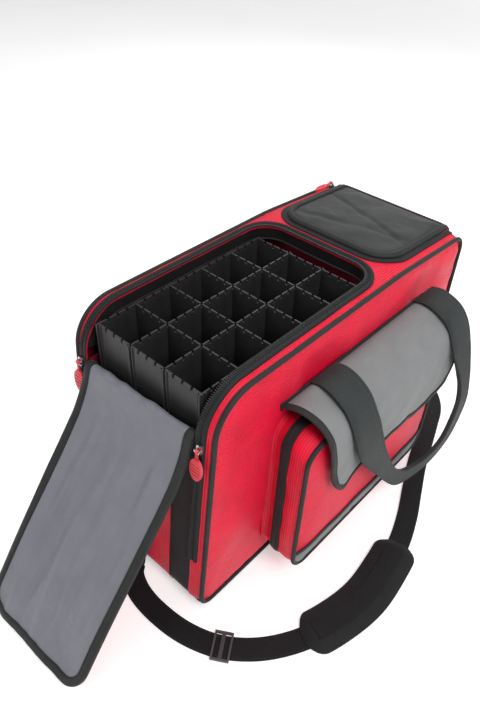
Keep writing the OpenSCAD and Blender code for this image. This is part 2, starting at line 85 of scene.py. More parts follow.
# ---- materials
class Nodes:
    """A small helper to write a material's node tree."""

    def __init__(self, name):
        self.mat = bpy.data.materials.new(name)
        self.mat.use_nodes = True
        self.tree = self.mat.node_tree
        self.bsdf = self.tree.nodes["Principled BSDF"]

    def node(self, kind, **values):
        n = self.tree.nodes.new(kind)
        for key, value in values.items():
            if key.startswith("in_"):
                n.inputs[int(key[3:])].default_value = value
            else:
                setattr(n, key, value)
        return n

    def link(self, a, b):
        self.tree.links.new(a, b)

    def math(self, op, a, b=0.0, clamp=False):
        n = self.node("ShaderNodeMath", operation=op, use_clamp=clamp)
        for i, value in enumerate((a, b)):
            if isinstance(value, (int, float)):
                n.inputs[i].default_value = value
            else:
                self.link(value, n.inputs[i])
        return n.outputs[0]

    def place(self, flat):
        """Cloth coordinates in metres, or the object's own."""
        if flat:
            return self.node("ShaderNodeAttribute",
                             attribute_name="flat").outputs["Vector"]
        return self.node("ShaderNodeTexCoord").outputs["Object"]

    def bands(self, place, axis, pitch, distort=0.0):
        n = self.node("ShaderNodeTexWave", wave_type="BANDS",
                      bands_direction=axis)
        n.inputs["Scale"].default_value = 2 * math.pi / (20 * pitch)
        n.inputs["Distortion"].default_value = distort
        self.link(place, n.inputs["Vector"])
        return n.outputs["Fac"]

    def noise(self, place, size, detail=3.0, rough=0.55):
        n = self.node("ShaderNodeTexNoise")
        n.inputs["Scale"].default_value = 1 / size
        n.inputs["Detail"].default_value = detail
        n.inputs["Roughness"].default_value = rough
        self.link(place, n.inputs["Vector"])
        return n.outputs["Fac"]

    def ramp(self, fac, stops):
        n = self.node("ShaderNodeValToRGB")
        el = n.color_ramp.elements
        for i, (pos, col) in enumerate(stops):
            e = el[i] if i < 2 else el.new(pos)
            e.position = pos
            e.color = (*col, 1)
        self.link(fac, n.inputs[0])
        return n.outputs[0]

    def bump(self, height, distance, strength=1.0, normal=None):
        n = self.node("ShaderNodeBump")
        n.inputs["Strength"].default_value = strength
        n.inputs["Distance"].default_value = distance
        self.link(height, n.inputs["Height"])
        if normal is not None:
            self.link(normal, n.inputs["Normal"])
        return n.outputs[0]

    def finish(self, colour, rough, normal):
        self.link(colour, self.bsdf.inputs["Base Color"])
        if isinstance(rough, (int, float)):
            self.bsdf.inputs["Roughness"].default_value = rough
        else:
            self.link(rough, self.bsdf.inputs["Roughness"])
        if normal is not None:
            self.link(normal, self.bsdf.inputs["Normal"])
        return self.mat


def scale(col, k):
    return tuple(min(1.0, c * k) for c in col)


def cloth_material(name, base, rough=0.6, sheen=0.2, tint=(1, 1, 1),
                   warp=0.0012, weft=0.0012, rib=0.0, depth=0.00015,
                   vary=0.16, wrinkle=0.0012, spec=0.16):
    """Woven cloth: crossing threads, wider ribs, soft creases and worn patches."""
    m = Nodes(name)
    p = m.place(True)
    threads = m.math("MULTIPLY", m.bands(p, "X", warp), 0.5)
    threads = m.math("ADD", threads, m.math("MULTIPLY", m.bands(p, "Y", weft), 0.5))
    if rib:
        threads = m.math("ADD", m.math("MULTIPLY", threads, 0.45),
                         m.math("MULTIPLY", m.bands(p, "Y", rib, 0.4), 0.75))
    patches = m.noise(p, 0.035, 4.0)
    tone = m.math("ADD", m.math("MULTIPLY", threads, 0.45),
                  m.math("MULTIPLY", patches, 0.75), clamp=True)
    colour = m.ramp(tone, [(0.25, scale(base, 1 - vary * 1.6)),
                           (0.55, base), (0.9, scale(base, 1 + vary))])
    normal = m.bump(m.noise(p, 0.05, 3.0), wrinkle, 0.8)
    normal = m.bump(threads, depth, 0.9, normal)
    wear = m.math("ADD", rough - 0.1, m.math("MULTIPLY", patches, 0.2))
    b = m.bsdf.inputs
    b["Sheen Weight"].default_value = sheen
    b["Sheen Roughness"].default_value = 0.4
    b["Sheen Tint"].default_value = (*tint, 1)
    b["Specular IOR Level"].default_value = spec
    return m.finish(colour, wear, normal)


def moulded_material(name, base, rough=0.45, grain=0.0005, depth=0.00006,
                     metal=0.0, wear=0.5, edge=None, spec=0.5):
    """Moulded plastic, rubber or metal: fine grain, scuffs, and a painted highlight that makes
    sharp edges paler.
    """
    m = Nodes(name)
    p = m.place(False)
    fine = m.noise(p, grain, 2.0)
    scuff = m.noise(p, 0.02, 5.0, 0.65)
    colour = m.ramp(scuff, [(0.3, scale(base, 0.8)), (0.6, base),
                            (0.85, scale(base, 1 + wear))])
    # painted highlight: convex edges, found by pointiness, are mixed towards the paler edge colour
    if edge:
        point = m.node("ShaderNodeNewGeometry").outputs["Pointiness"]
        fac = m.math("MULTIPLY", m.math("SUBTRACT", point, 0.53), 9.0, clamp=True)
        edge_highlight_mix = m.node("ShaderNodeMix", data_type="RGBA")
        m.link(fac, edge_highlight_mix.inputs["Factor"])
        m.link(colour, edge_highlight_mix.inputs[6])
        edge_highlight_mix.inputs[7].default_value = (*edge, 1)
        colour = edge_highlight_mix.outputs[2]
    rough_out = m.math("ADD", rough - 0.08, m.math("MULTIPLY", scuff, 0.2))
    normal = m.bump(fine, depth, 0.6)
    m.bsdf.inputs["Metallic"].default_value = metal
    m.bsdf.inputs["Specular IOR Level"].default_value = spec
    return m.finish(colour, rough_out, normal)


# the edge colours given below are painted highlights along sharp edges
MAT = {
    "red": cloth_material("red_nylon", (0.62, 0.003, 0.028), 0.42, 0.05,
                          (1.0, 0.35, 0.6), 0.0011, 0.0011, 0.0032, 0.0005,
                          0.20, 0.0022, 0.24),
    "red_back": cloth_material("red_lining", (0.16, 0.008, 0.02), 0.6, 0.15,
                               (1, 0.6, 0.6)),
    "piping": cloth_material("dark_piping", (0.022, 0.023, 0.0225), 0.6, 0.06,
                             warp=0.0016, weft=0.0008, vary=0.3),
    "tape": cloth_material("zip_tape", (0.015, 0.016, 0.017), 0.62, 0.05,
                           warp=0.0009, weft=0.0018, vary=0.3),
    "grey": cloth_material("grey_nylon", (0.185, 0.19, 0.192), 0.6, 0.06,
                           warp=0.0011, weft=0.0011, vary=0.1, wrinkle=0.002),
    "charcoal": cloth_material("charcoal_nylon", (0.026, 0.027, 0.028), 0.5,
                               0.08, warp=0.0011, weft=0.0011, vary=0.2,
                               wrinkle=0.002),
    "black": cloth_material("black_nylon", (0.009, 0.009, 0.010), 0.6, 0.05,
                            warp=0.0011, weft=0.0011, vary=0.3),
    "satin": cloth_material("satin_lining", (0.155, 0.158, 0.182), 0.38, 0.12,
                            (0.9, 0.92, 1.0), 0.0007, 0.0007, 0, 0.00008, 0.1,
                            0.004, 0.35),
    "webbing": cloth_material("grey_webbing", (0.030, 0.034, 0.034), 0.66, 0.04,
                              warp=0.0040, weft=0.0016, vary=0.3,
                              depth=0.0003, wrinkle=0.0005),
    "strap": cloth_material("black_webbing", (0.009, 0.009, 0.010), 0.6, 0.05,
                            warp=0.0030, weft=0.0013, vary=0.3, depth=0.0003,
                            wrinkle=0.0004),
    "pad": cloth_material("pad_fabric", (0.014, 0.014, 0.015), 0.75, 0.06,
                          warp=0.0028, weft=0.0028, vary=0.35, depth=0.0004),
    "thread": cloth_material("thread", (0.03, 0.03, 0.031), 0.6, 0.05,
                             vary=0.2),
    "coil": moulded_material("zip_coil", (0.02, 0.02, 0.022), 0.4, wear=0.8),
    "divider": moulded_material("divider_plastic", (0.015, 0.015, 0.0155), 0.4,
                                0.0012, 0.00005, wear=0.8,
                                edge=(0.03, 0.03, 0.031), spec=0.3),
    "board": moulded_material("board_plastic", (0.03, 0.03, 0.032), 0.5,
                              wear=0.6, edge=(0.08, 0.08, 0.08)),
    "base": moulded_material("base_plastic", (0.02, 0.02, 0.021), 0.55,
                             0.0015, 0.0003, wear=0.7, edge=(0.06, 0.06, 0.06)),
    "metal": moulded_material("bright_metal", (0.62, 0.62, 0.64), 0.26, 0.0008,
                              0.00002, metal=1.0, wear=0.25),
    "rubber": moulded_material("red_rubber", (0.55, 0.01, 0.025), 0.42, 0.0006,
                               0.00005, wear=0.2, edge=(0.7, 0.06, 0.08)),
}


# ---- mesh tools
def unit(a):
    return a / np.maximum(np.linalg.norm(a, axis=-1, keepdims=True), 1e-9)


def measure(path):
    """Distance along a path at each of its points."""
    return np.concatenate([[0], np.cumsum(np.linalg.norm(np.diff(path, axis=0), axis=1))])


def clamp(a):
    return np.clip(a, 0, 1)


def hill(x, middle, width):
    """Bell curve, 1 at its middle."""
    return np.exp(-((x - middle) / width) ** 2)


def cols(*parts):
    """Numbers and arrays side by side, as points with one column each."""
    return np.stack(np.broadcast_arrays(*parts), -1)


def grid_normals(p):
    du = np.gradient(p, axis=0)
    dv = np.gradient(p, axis=1)
    return unit(np.cross(du, dv))


class Piece:
    """Collects closed shells and makes one object of them."""

    def __init__(self, name, *mats):
        self.name, self.mats = name, mats
        self.v, self.f, self.m, self.uv = [], [], [], []
        self.n = 0

    def add(self, pts, faces, mats, uv):
        pts = np.asarray(pts, float).reshape(-1, 3)
        self.v.append(pts)
        self.uv.append(np.broadcast_to(np.asarray(uv, float).reshape(-1, 2),
                                       (len(pts), 2)))
        self.f += [tuple(i + self.n for i in f) for f in faces]
        self.m += list(mats)
        self.n += len(pts)

    def slab(self, outer, inner, uv, mats=(0, 0, 0), loop=False):
        """Two matching grids joined round their edge."""
        nu, nv = outer.shape[:2]
        one = lambda i, j: (i % nu) * nv + j
        two = lambda i, j: nu * nv + (i % nu) * nv + j
        faces, m = [], []
        last = nu if loop else nu - 1
        for i in range(last):
            for j in range(nv - 1):
                faces.append((one(i, j), one(i + 1, j), one(i + 1, j + 1), one(i, j + 1)))
                faces.append((two(i, j), two(i, j + 1), two(i + 1, j + 1), two(i + 1, j)))
                m += [mats[0], mats[1]]
            for j in (0, nv - 1):
                faces.append((one(i, j), two(i, j), two(i + 1, j), one(i + 1, j)))
                m.append(mats[2])
        if not loop:
            for i in (0, nu - 1):
                for j in range(nv - 1):
                    faces.append((one(i, j), one(i, j + 1), two(i, j + 1), two(i, j)))
                    m.append(mats[2])
        uv = np.asarray(uv, float)
        self.add(np.concatenate([outer.reshape(-1, 3), inner.reshape(-1, 3)]),
                 faces, m, np.concatenate([uv.reshape(-1, 2)] * 2))

    def sheet(self, outer, thick, uv):
        self.slab(outer, outer - grid_normals(outer) * thick, uv)

    def loft(self, rings, uv, mat=0, loop=False):
        """Closed rings of points joined in a row, with ends unless it loops."""
        n, m = rings.shape[:2]
        faces = []
        for i in range(n if loop else n - 1):
            k = (i + 1) % n
            for j in range(m):
                q = (j + 1) % m
                faces.append((i * m + j, k * m + j, k * m + q, i * m + q))
        if not loop:
            faces += [tuple(range(m)), tuple((n - 1) * m + j for j in range(m))]
        self.add(rings, faces, [mat] * len(faces), uv)

    def sweep(self, place, length, profile, mat=0, loop=False):
        """A cross-section carried along a line; place gives a profile point's path."""
        rings = np.stack([place(d, h) for d, h in profile], 1)
        uv = np.stack([cols(d, length) for d, h in profile], 1)
        self.loft(rings, uv, mat, loop)

    def ribbon(self, path, side, width, thick, mat=0, start=0.0):
        """Webbing along a path; side points across it."""
        path, side = np.asarray(path, float), unit(np.asarray(side, float))
        tan = unit(np.gradient(path, axis=0))
        side = unit(side - tan * np.sum(side * tan, -1, keepdims=True))
        nrm = np.cross(tan, side)
        w = np.broadcast_to(np.asarray(width, float), len(path)) / 2
        t = np.broadcast_to(np.asarray(thick, float), len(path)) / 2
        rings = []
        for a, b in ((-1, -0.4), (-0.97, -1), (-0.5, -1), (0, -1), (0.5, -1),
                     (0.97, -1), (1, -0.4), (1, 0.4), (0.97, 1), (0.5, 1),
                     (0, 1), (-0.5, 1), (-0.97, 1), (-1, 0.4)):
            rings.append((path + side * (w * a)[:, None] + nrm * (t * b)[:, None],
                          w * a))
        length = start + measure(path)
        pts = np.stack([r[0] for r in rings], 1)
        uv = np.stack([cols(r[1], length) for r in rings], 1)
        self.loft(pts, uv, mat)

    def tube(self, path, radius, mat=0, loop=False, sides=10, up=(0, 0, 1)):
        path = np.asarray(path, float)
        if loop:
            tan = unit(np.roll(path, -1, 0) - np.roll(path, 1, 0))
        else:
            tan = unit(np.gradient(path, axis=0))
        ref = np.asarray(up, float)
        a = unit(np.cross(tan, ref))
        b = np.cross(tan, a)
        r = np.broadcast_to(np.asarray(radius, float), len(path))[:, None]
        ang = np.arange(sides) * 2 * math.pi / sides
        rings = np.stack([path + r * (a * math.cos(t) + b * math.sin(t))
                          for t in ang], 1)
        length = measure(path)
        uv = np.stack([cols(t * r[:, 0], length)
                       for t in ang], 1)
        self.loft(rings, uv, mat, loop)

    def blocks(self, centre, along, across, size, mat=0):
        """Small rounded blocks, such as stitches or zip teeth."""
        centre, along, across = (np.asarray(a, float) for a in (centre, along, across))
        along = unit(along)
        across = unit(across - along * np.sum(across * along, -1, keepdims=True))
        nrm = np.cross(along, across)
        lx, ly, lz = (s / 2 for s in size)
        shape = [(-1, -.6, -1), (-1, .6, -1), (-.6, 1, -1), (.6, 1, -1),
                 (1, .6, -1), (1, -.6, -1), (.6, -1, -1), (-.6, -1, -1)]
        top = [(a * .75, b * .7, 1) for a, b, c in shape]
        for c, t, a, n in zip(centre, along, across, nrm):
            pts = [c + t * lx * x + a * ly * y + n * lz * z for x, y, z in shape + top]
            k = 8
            faces = [tuple(range(k)), tuple(range(k, 2 * k))]
            faces += [(i, (i + 1) % k, k + (i + 1) % k, k + i) for i in range(k)]
            self.add(pts, faces, [mat] * len(faces), [[0, 0]])

    def build(self, body=None, replaces=()):
        """Make the object; sharp turns between faces stay sharp."""
        me = bpy.data.meshes.new(self.name)
        v = np.concatenate(self.v) * MM
        me.from_pydata(v.tolist(), [], self.f)
        for m in self.mats:
            me.materials.append(MAT[m])
        me.polygons.foreach_set("material_index", self.m)
        me.polygons.foreach_set("use_smooth", [True] * len(self.f))
        uv = np.concatenate(self.uv) * MM
        att = me.attributes.new("flat", "FLOAT_VECTOR", "POINT")
        att.data.foreach_set("vector", np.concatenate(
            [uv, np.zeros((len(uv), 1))], 1).ravel())
        bm = bmesh.new()
        bm.from_mesh(me)
        bmesh.ops.recalc_face_normals(bm, faces=bm.faces)
        for e in bm.edges:
            if len(e.link_faces) == 2 and e.calc_face_angle(0) > math.radians(50):
                e.smooth = False
        bm.to_mesh(me)
        bm.free()
        me.update()
        o = bpy.data.objects.new(self.name, me)
        bpy.context.scene.collection.objects.link(o)
        if body:
            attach(o, body)
        if replaces:
            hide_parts(*replaces)
        return o


def smooth_path(points, step=4.0):
    """Catmull-Rom curve through control rows; extra columns are carried along."""
    p = np.asarray(points, float)
    p = np.concatenate([[2 * p[0] - p[1]], p, [2 * p[-1] - p[-2]]])
    out = []
    for i in range(1, len(p) - 2):
        n = max(2, int(np.linalg.norm(p[i + 1, :3] - p[i, :3]) / step))
        for k in range(n):
            t = k / n
            out.append(0.5 * (2 * p[i] + (p[i + 1] - p[i - 1]) * t
                              + (2 * p[i - 1] - 5 * p[i] + 4 * p[i + 1] - p[i + 2]) * t * t
                              + (3 * p[i] - p[i - 1] - 3 * p[i + 1] + p[i + 2]) * t ** 3))
    out.append(p[-2])
    return np.array(out)


def wobble(p, size, amp, seed=0.0):
    """Smooth noise at each point, from about -amp to amp."""
    shape = p.shape[:-1]
    q = p.reshape(-1, p.shape[-1]) / size
    vals = [noise.noise(Vector((a[0] + seed, a[1] - seed, (a[2] if len(a) > 2 else 0) + seed)))
            for a in q]
    return np.array(vals).reshape(shape) * amp * 1.6


class Outline:
    """Rounded closed outline in X and Z, clockwise, measured along itself.
    Along the top the measure equals X."""

    def __init__(self, corners, radii, skip=()):
        steps, pts = 16, []
        n = len(corners)
        for i in range(n):
            a, b, c = (np.array(corners[(i + k) % n], float) for k in (-1, 0, 1))
            u, v = unit(a - b), unit(c - b)
            half = math.acos(float(np.clip(u @ v, -1, 1))) / 2
            o = b + unit(u + v) * radii[i] / math.sin(half)
            s = b + u * radii[i] / math.tan(half) - o
            e = b + v * radii[i] / math.tan(half) - o
            a0 = math.atan2(s[1], s[0])
            turn = (math.atan2(e[1], e[0]) - a0 + math.pi) % (2 * math.pi) - math.pi
            for k in range(steps + 1):
                t = a0 + turn * k / steps
                d = np.array([math.cos(t), math.sin(t)])
                pts.append([*(o + radii[i] * d), *d])
        pts.append(pts[0])
        p = np.array(pts)
        self.cum = measure(p[:, :2])
        self.length = self.cum[-1]
        self.p = p
        k = (steps + 1) + steps          # end of the second corner's arc
        self.shift = self.cum[k] - p[k, 0]
        self.mid = [self.cum[i * (steps + 1) + steps // 2] - self.shift
                    for i in range(n) if i not in skip]

    def at(self, s):
        t = (np.asarray(s, float) + self.shift) % self.length
        x, z, nx, nz = (np.interp(t, self.cum, self.p[:, i]) for i in range(4))
        k = np.hypot(nx, nz)
        return x, z, nx / k, nz / k

    def where(self, value, column, lo, hi):
        """Measure at which a column (0 for X, 1 for Z) reaches value, between lo and hi."""
        s = np.linspace(lo, hi, 2001)
        return float(s[np.argmin(abs(self.at(s)[column] - value))])


# ---- bag body
HALF_W = 113.5                    # middle of the piping of the side panels
CROWN = 5.0                       # rise of the top between its edges
OPEN_HALF = 93.0                  # half width of the main opening
OPEN_FAR = node_box("main_zip_tape")[1][0] - 13.0
OPEN_R = 36.0
FOLD_Z = 300.0                    # height of the main flap's fold
HANDLE_X = (-55.0, 173.0)         # middles of the handles' legs
TOOTH_PITCH = 2.3                 # of every zip's coil
TOP_Z = node_box("top_panel")[1][2]
FAR_DROP = 11.0                   # sag of the top towards the lidded end
BODY = Outline([(-250, 8), (-225, TOP_Z - CROWN), (112, TOP_Z - CROWN),
                (280, TOP_Z - CROWN - FAR_DROP), (291, 8)], [18, 52, 420, 24, 18], skip=(2,))
S_NEAR_MID, S_FAR_MID = BODY.mid[1], BODY.mid[2]


def near_s(z):
    """Measure along the outline at height z on the flap end."""
    return BODY.where(z, 1, BODY.mid[0], BODY.mid[1])


S_BASE_NEAR = near_s(14)
S_FOLD = near_s(FOLD_Z - 6)
S_ZIP_LOW = near_s(96)
S_BASE_FAR = BODY.where(14, 1, BODY.mid[2], BODY.mid[2] + 360)


def crown(y):
    out = clamp((abs(np.asarray(y, float)) - 88) / (HALF_W - 88))
    return CROWN * (1 - out ** 2)


def wrap(s, y, h=0.0):
    """Point on the bag's outside: s along the side outline, y across, h out."""
    x, z, nx, nz = BODY.at(s)
    d = crown(y) + h
    return cols(x + nx * d, np.asarray(y, float), z + nz * d)


def piping_piece(side, name, node):
    s = np.linspace(0, BODY.length, 420, endpoint=False)
    y = side * HALF_W
    p = Piece(name, "piping")
    p.tube(wrap(s, y, 0.4), 3.1, 0, True, 10, (0, 1, 0))
    flat = np.stack([wrap(s, side * (HALF_W - 3.6), 0.2), wrap(s, side * (HALF_W - 1.5), 1.6)], 1)
    p.slab(flat, flat - 0.01, np.stack(
        [cols(0, s), cols(3, s)], 1), (0, 0, 0), True)
    return p.build("root", (node,))


piping_piece(-1, "front_piping_cord", "front_piping")
piping_piece(1, "back_piping_cord", "back_piping")


def coons(curves, nu, nv):
    """Grid between four boundary curves: low and high in v, left and right in u."""
    low, high, left, right = curves
    u = np.linspace(0, 1, nu)[:, None, None]
    v = np.linspace(0, 1, nv)[None, :, None]
    return ((1 - v) * low[:, None] + v * high[:, None] + (1 - u) * left[None] + u * right[None]
            - (1 - u) * (1 - v) * low[0] - u * (1 - v) * low[-1]
            - (1 - u) * v * high[0] - u * v * high[-1])


def outline_patch(path, h, nu, nv):
    """Coons grid in X and Z filling an outline between its four corner middles."""
    m = list(path.mid)
    m.append(m[0] + path.length)
    def side(i, n):
        x, z, nx, nz = path.at(np.linspace(m[i], m[i + 1], n))
        return cols(x + nx * h, z + nz * h)
    near, top, far, base = side(0, nv), side(1, nu), side(2, nv), side(3, nu)
    return coons((base[::-1], top, near, far[::-1]), nu, nv)


def edge_distance(xz, path, h):
    x, z, nx, nz = path.at(np.linspace(0, path.length, 500, endpoint=False))
    edge = cols(x + nx * h, z + nz * h)
    flat = xz.reshape(-1, 2)
    d = np.sqrt(((flat[:, None] - edge[None]) ** 2).sum(-1)).min(1)
    return d.reshape(xz.shape[:-1])


def side_panel(side, name, node):
    xz = outline_patch(BODY, -2.4, 104, 76)
    d = edge_distance(xz, BODY, -2.4)
    y = HALF_W - 1.0 + 8.5 * (1 - np.exp(-d / 20.0))
    seam = hill(xz[..., 1], 296, 20) * (side < 0)
    y = y - 3.2 * seam * clamp((d - 6) / 20)
    # pressed flat by the legs of the front handle and the webbing down the back
    press = sum(np.exp(-((xz[..., 0] - x) / 36.0) ** 4) for x in HANDLE_X)
    if side < 0:
        press = press * hill(xz[..., 1], 309, 25)
        y = y - 4.6 * press * clamp((d - 6) / 20)
    p3 = cols(xz[..., 0], 50 * side, xz[..., 1])
    soft = clamp(d / 30) * (1 - 0.85 * press)
    y = y + soft * (wobble(p3, 95, 3.0, 3.0) + wobble(p3, 38, 0.9, 9.0))
    y = y + np.exp(-d / 12.0) * wobble(p3, 17, 0.9, 5.0)
    outer = cols(xz[..., 0], side * y, xz[..., 1])
    inner = outer.copy()
    inner[..., 1] = side * (HALF_W - 2.0)
    p = Piece(name, "red", "red_back")
    p.slab(outer, inner, xz, (0, 1, 0))
    o = p.build("root", (node,))
    return o


side_panel(-1, "front_side_panel", "front_panel")
side_panel(1, "back_side_panel", "back_panel")


def wrap_sheet(piece, s, y, h, thick=2.4, mats=(0, 1, 0), loop=False):
    p = wrap(s, y, h)
    inner = wrap(s, y, h - thick)
    piece.slab(p, inner, cols(s, y), mats, loop)


def u_path(low=S_ZIP_LOW):
    """Edge of the main opening in (s, y) with outward normals, front side first."""
    x0, x1 = OPEN_FAR - OPEN_R, OPEN_FAR
    rows = [(s, -OPEN_HALF, 0, -1) for s in np.arange(low, x0, 3.5)]
    for t in np.linspace(-math.pi / 2, 0, 15):
        c, d = math.cos(t), math.sin(t)
        rows.append((x0 + OPEN_R * c, -OPEN_HALF + OPEN_R + OPEN_R * d, c, d))
    for y in np.arange(-OPEN_HALF + OPEN_R + 4, OPEN_HALF - OPEN_R - 3, 4.0):
        rows.append((x1, y, 1, 0))
    out = [r for r in rows if r[1] < 0.1]
    return np.array(out + [(a, -b, c, -d) for a, b, c, d in reversed(out)])


U = u_path()


def along_u(path, a, h):
    """Point at distance a outside the opening's edge and h above the surface."""
    return wrap(path[:, 0] + path[:, 2] * a, path[:, 1] + path[:, 3] * a, h)


def dashes(piece, pts, pitch, size, mat, across):
    """Stitches at an even pitch along a dense path; across points to their side."""
    pts = np.asarray(pts, float)
    cum = measure(pts)
    at = np.arange(pitch * 0.5, cum[-1], pitch)
    b, c, f = (np.stack([np.interp(at + e, cum, pts[:, i]) for i in range(3)], -1)
               for e in (-0.6, 0, 0.6))
    piece.blocks(c, f - b, np.broadcast_to(across, c.shape), size, mat)


def main_shell():
    p = Piece("top_shell", "red", "red_back")
    # strips beside the opening, down the flap end
    s = np.concatenate([np.linspace(S_BASE_NEAR, S_NEAR_MID - 30, 50)[:-1],
                        np.linspace(S_NEAR_MID - 30, OPEN_FAR - OPEN_R, 90)])
    for side in (-1, 1):
        y = side * np.linspace(OPEN_HALF + 0.2, HALF_W - 2.4, 7)
        ss, yy = np.meshgrid(s, y, indexing="ij")
        bump = wobble(cols(ss, yy, 0), 30, 0.6, 2.0)
        wrap_sheet(p, ss, yy, bump)
    # round the far side of the opening
    inner = np.array([r for r in U if r[0] >= OPEN_FAR - OPEN_R - 1e-6])
    x0, x1, yy = OPEN_FAR - OPEN_R, OPEN_FAR + 16, HALF_W - 2.4
    outer = []
    for r in inner:
        k = (r[1] + OPEN_HALF) / (2 * OPEN_HALF)
        lead = 0.16
        if k < lead:
            outer.append((x0 + (x1 - x0) * (k / lead), -yy))
        elif k > 1 - lead:
            outer.append((x0 + (x1 - x0) * ((1 - k) / lead), yy))
        else:
            outer.append((x1, -yy + 2 * yy * (k - lead) / (1 - 2 * lead)))
    outer = np.array(outer)
    v = np.linspace(0, 1, 8)[None, :, None]
    g = inner[:, None, :2] * (1 - v) + outer[:, None] * v
    wrap_sheet(p, g[..., 0], g[..., 1], 0.0)
    # round the lidded compartment's opening, to the far corner
    lid_lo, lid_hi = node_box("far_lid")
    hole = rounded_plan(lid_lo[0] + 3, lid_hi[0] - 10, lid_hi[1] - 3, 31, 3)
    ring = []
    x2 = S_FAR_MID - 12
    xc, half_x, half_y = (x1 + x2) / 2, (x2 - x1) / 2, yy
    for hx, hy in hole:
        dx, dy = hx - xc, hy
        k = min(half_x / max(abs(dx), 1e-6), half_y / max(abs(dy), 1e-6))
        ring.append((xc + dx * k, dy * k))
    hole, ring = np.array(hole), np.array(ring)
    v = np.linspace(0, 1, 6)[None, :, None]
    g = hole[:, None] * (1 - v) + ring[:, None] * v
    wrap_sheet(p, g[..., 0], g[..., 1], 0.0, loop=True)
    return p.build("root", ("top_panel",))


def rounded_plan(x0, x1, half, r, r2):
    """Closed outline in X and Y, rounded by r at x0 and r2 at x1."""
    pts = []
    for cx, cy, rad, a0 in ((x0 + r, -half + r, r, 180), (x1 - r2, -half + r2, r2, 270),
                            (x1 - r2, half - r2, r2, 0), (x0 + r, half - r, r, 90)):
        for t in np.radians(np.linspace(a0, a0 + 90, 11)):
            pts.append((cx + rad * math.cos(t), cy + rad * math.sin(t)))
    out = []
    for i, a in enumerate(pts):
        b = pts[(i + 1) % len(pts)]
        k = max(1, int(math.dist(a, b) / 14))
        out += [(a[0] + (b[0] - a[0]) * j / k, a[1] + (b[1] - a[1]) * j / k) for j in range(k)]
    return out


main_shell()


def end_panels():
    p = Piece("lidded_end_panel", "red", "red_back")
    s = np.linspace(S_FAR_MID - 12, S_BASE_FAR, 80)
    y = np.linspace(-HALF_W + 2.4, HALF_W - 2.4, 56)
    ss, yy = np.meshgrid(s, y, indexing="ij")
    h = wobble(cols(ss, yy, 0), 80, 1.6, 7.0) * clamp((ss - S_FAR_MID) / 30)
    wrap_sheet(p, ss, yy, h)
    p.build("root", ("far_end_panel",))
    p = Piece("flap_end_panel", "red", "red_back", "black", "thread")
    s = np.linspace(S_BASE_NEAR, S_FOLD, 60)
    border = 56.0                 # half width of the red middle; black webbing beside it
    for lo, hi, m, n in ((-OPEN_HALF + 0.4, -border, 2, 8), (-border, border, 0, 34),
                         (border, OPEN_HALF - 0.4, 2, 8)):
        ss, yy = np.meshgrid(s, np.linspace(lo, hi, n), indexing="ij")
        h = wobble(cols(ss, yy, 0), 60, 1.2, 11.0) - 0.6
        if m == 2:
            h = h * 0.4 - 1.0
        wrap_sheet(p, ss, yy, h, mats=(m, 1, m))
    for side in (-1, 1):
        dashes(p, wrap(s, side * (border + 3), 0.0), 4.5, (3, 0.8, 0.8), 3, (0, 1, 0))
    p.build("root", ("near_end_panel",))


end_panels()


def main_zip():
    p = Piece("main_zip_band", "tape", "coil", "thread")
    p.sweep(lambda a, h: along_u(U, a, h), measure(U[:, :2]), [
        (0.2, 0.2), (0.2, 1.5), (1.2, 2.6), (3.0, 1.5), (5.0, 1.0), (5.8, 2.0), (8.2, 3.0),
        (10.4, 2.4), (11.0, 1.2), (11.0, 0.2)])
    for a in (4.0, 9.4):
        dashes(p, along_u(U, a, 1.5 + a / 7), 4.2, (2.8, 0.7, 0.6), 2, (0, 0, 1))
    # interlocking coil along the inner edge
    cum = measure(U[:, :2])
    at = np.arange(2, cum[-1] - 2, TOOTH_PITCH)
    row = np.stack([np.interp(at, cum, U[:, i]) for i in range(4)], -1)
    row[:, 2:] = unit(row[:, 2:])
    c = along_u(row, -0.2, 1.6)
    out = along_u(row, 1.4, 1.6) - c
    up = along_u(row, -0.2, 3.0) - c
    p.blocks(c, np.cross(out, up), out, (1.3, 3.8, 2.0), 1)
    return p.build("root", ("main_zip_tape",))


main_zip()


def inner_flange():
    """Dark facing that hangs inside the main opening from its zip."""
    p = Piece("opening_facing", "black", "piping")
    path = u_path(near_s(FOLD_Z + 8))
    drops = np.linspace(0, 1, 7)
    rows = []
    for k in drops:
        w = 0.5 * np.sin(path[:, 0] / 17.0 + path[:, 1] / 23.0) * k
        rows.append(along_u(path, 0.4 + 1.2 * k + w, 0.6 - 20.0 * k))
    g = np.stack(rows, 1)
    length = measure(path[:, :2])
    uv = np.stack([cols(20 * k, length) for k in drops], 1)
    p.sheet(g, 0.8, uv)
    p.tube(g[:, -1], 1.3, 1, sides=8)
    return p.build("root")


inner_flange()


# ---- linings
def wall(piece, corner, across, down, seed):
    """Slightly uneven sheet of lining over a flat four-sided area."""
    nu = max(3, int(np.linalg.norm(across) / 9))
    nv = max(3, int(np.linalg.norm(down) / 9))
    u = np.linspace(0, 1, nu)[:, None, None]
    v = np.linspace(0, 1, nv)[None, :, None]
    g = np.asarray(corner, float) + np.asarray(across, float) * u + np.asarray(down, float) * v
    n = unit(np.cross(np.asarray(across, float), np.asarray(down, float)))
    edge = (np.sin(np.pi * u) * np.sin(np.pi * v))[..., 0] ** 0.5
    g = g + n * (wobble(g, 40, 1.6, seed) * edge)[..., None]
    uv = cols(u[..., 0] * np.linalg.norm(across),
              v[..., 0] * np.linalg.norm(down))
    piece.slab(g, g - n * 1.2, uv)


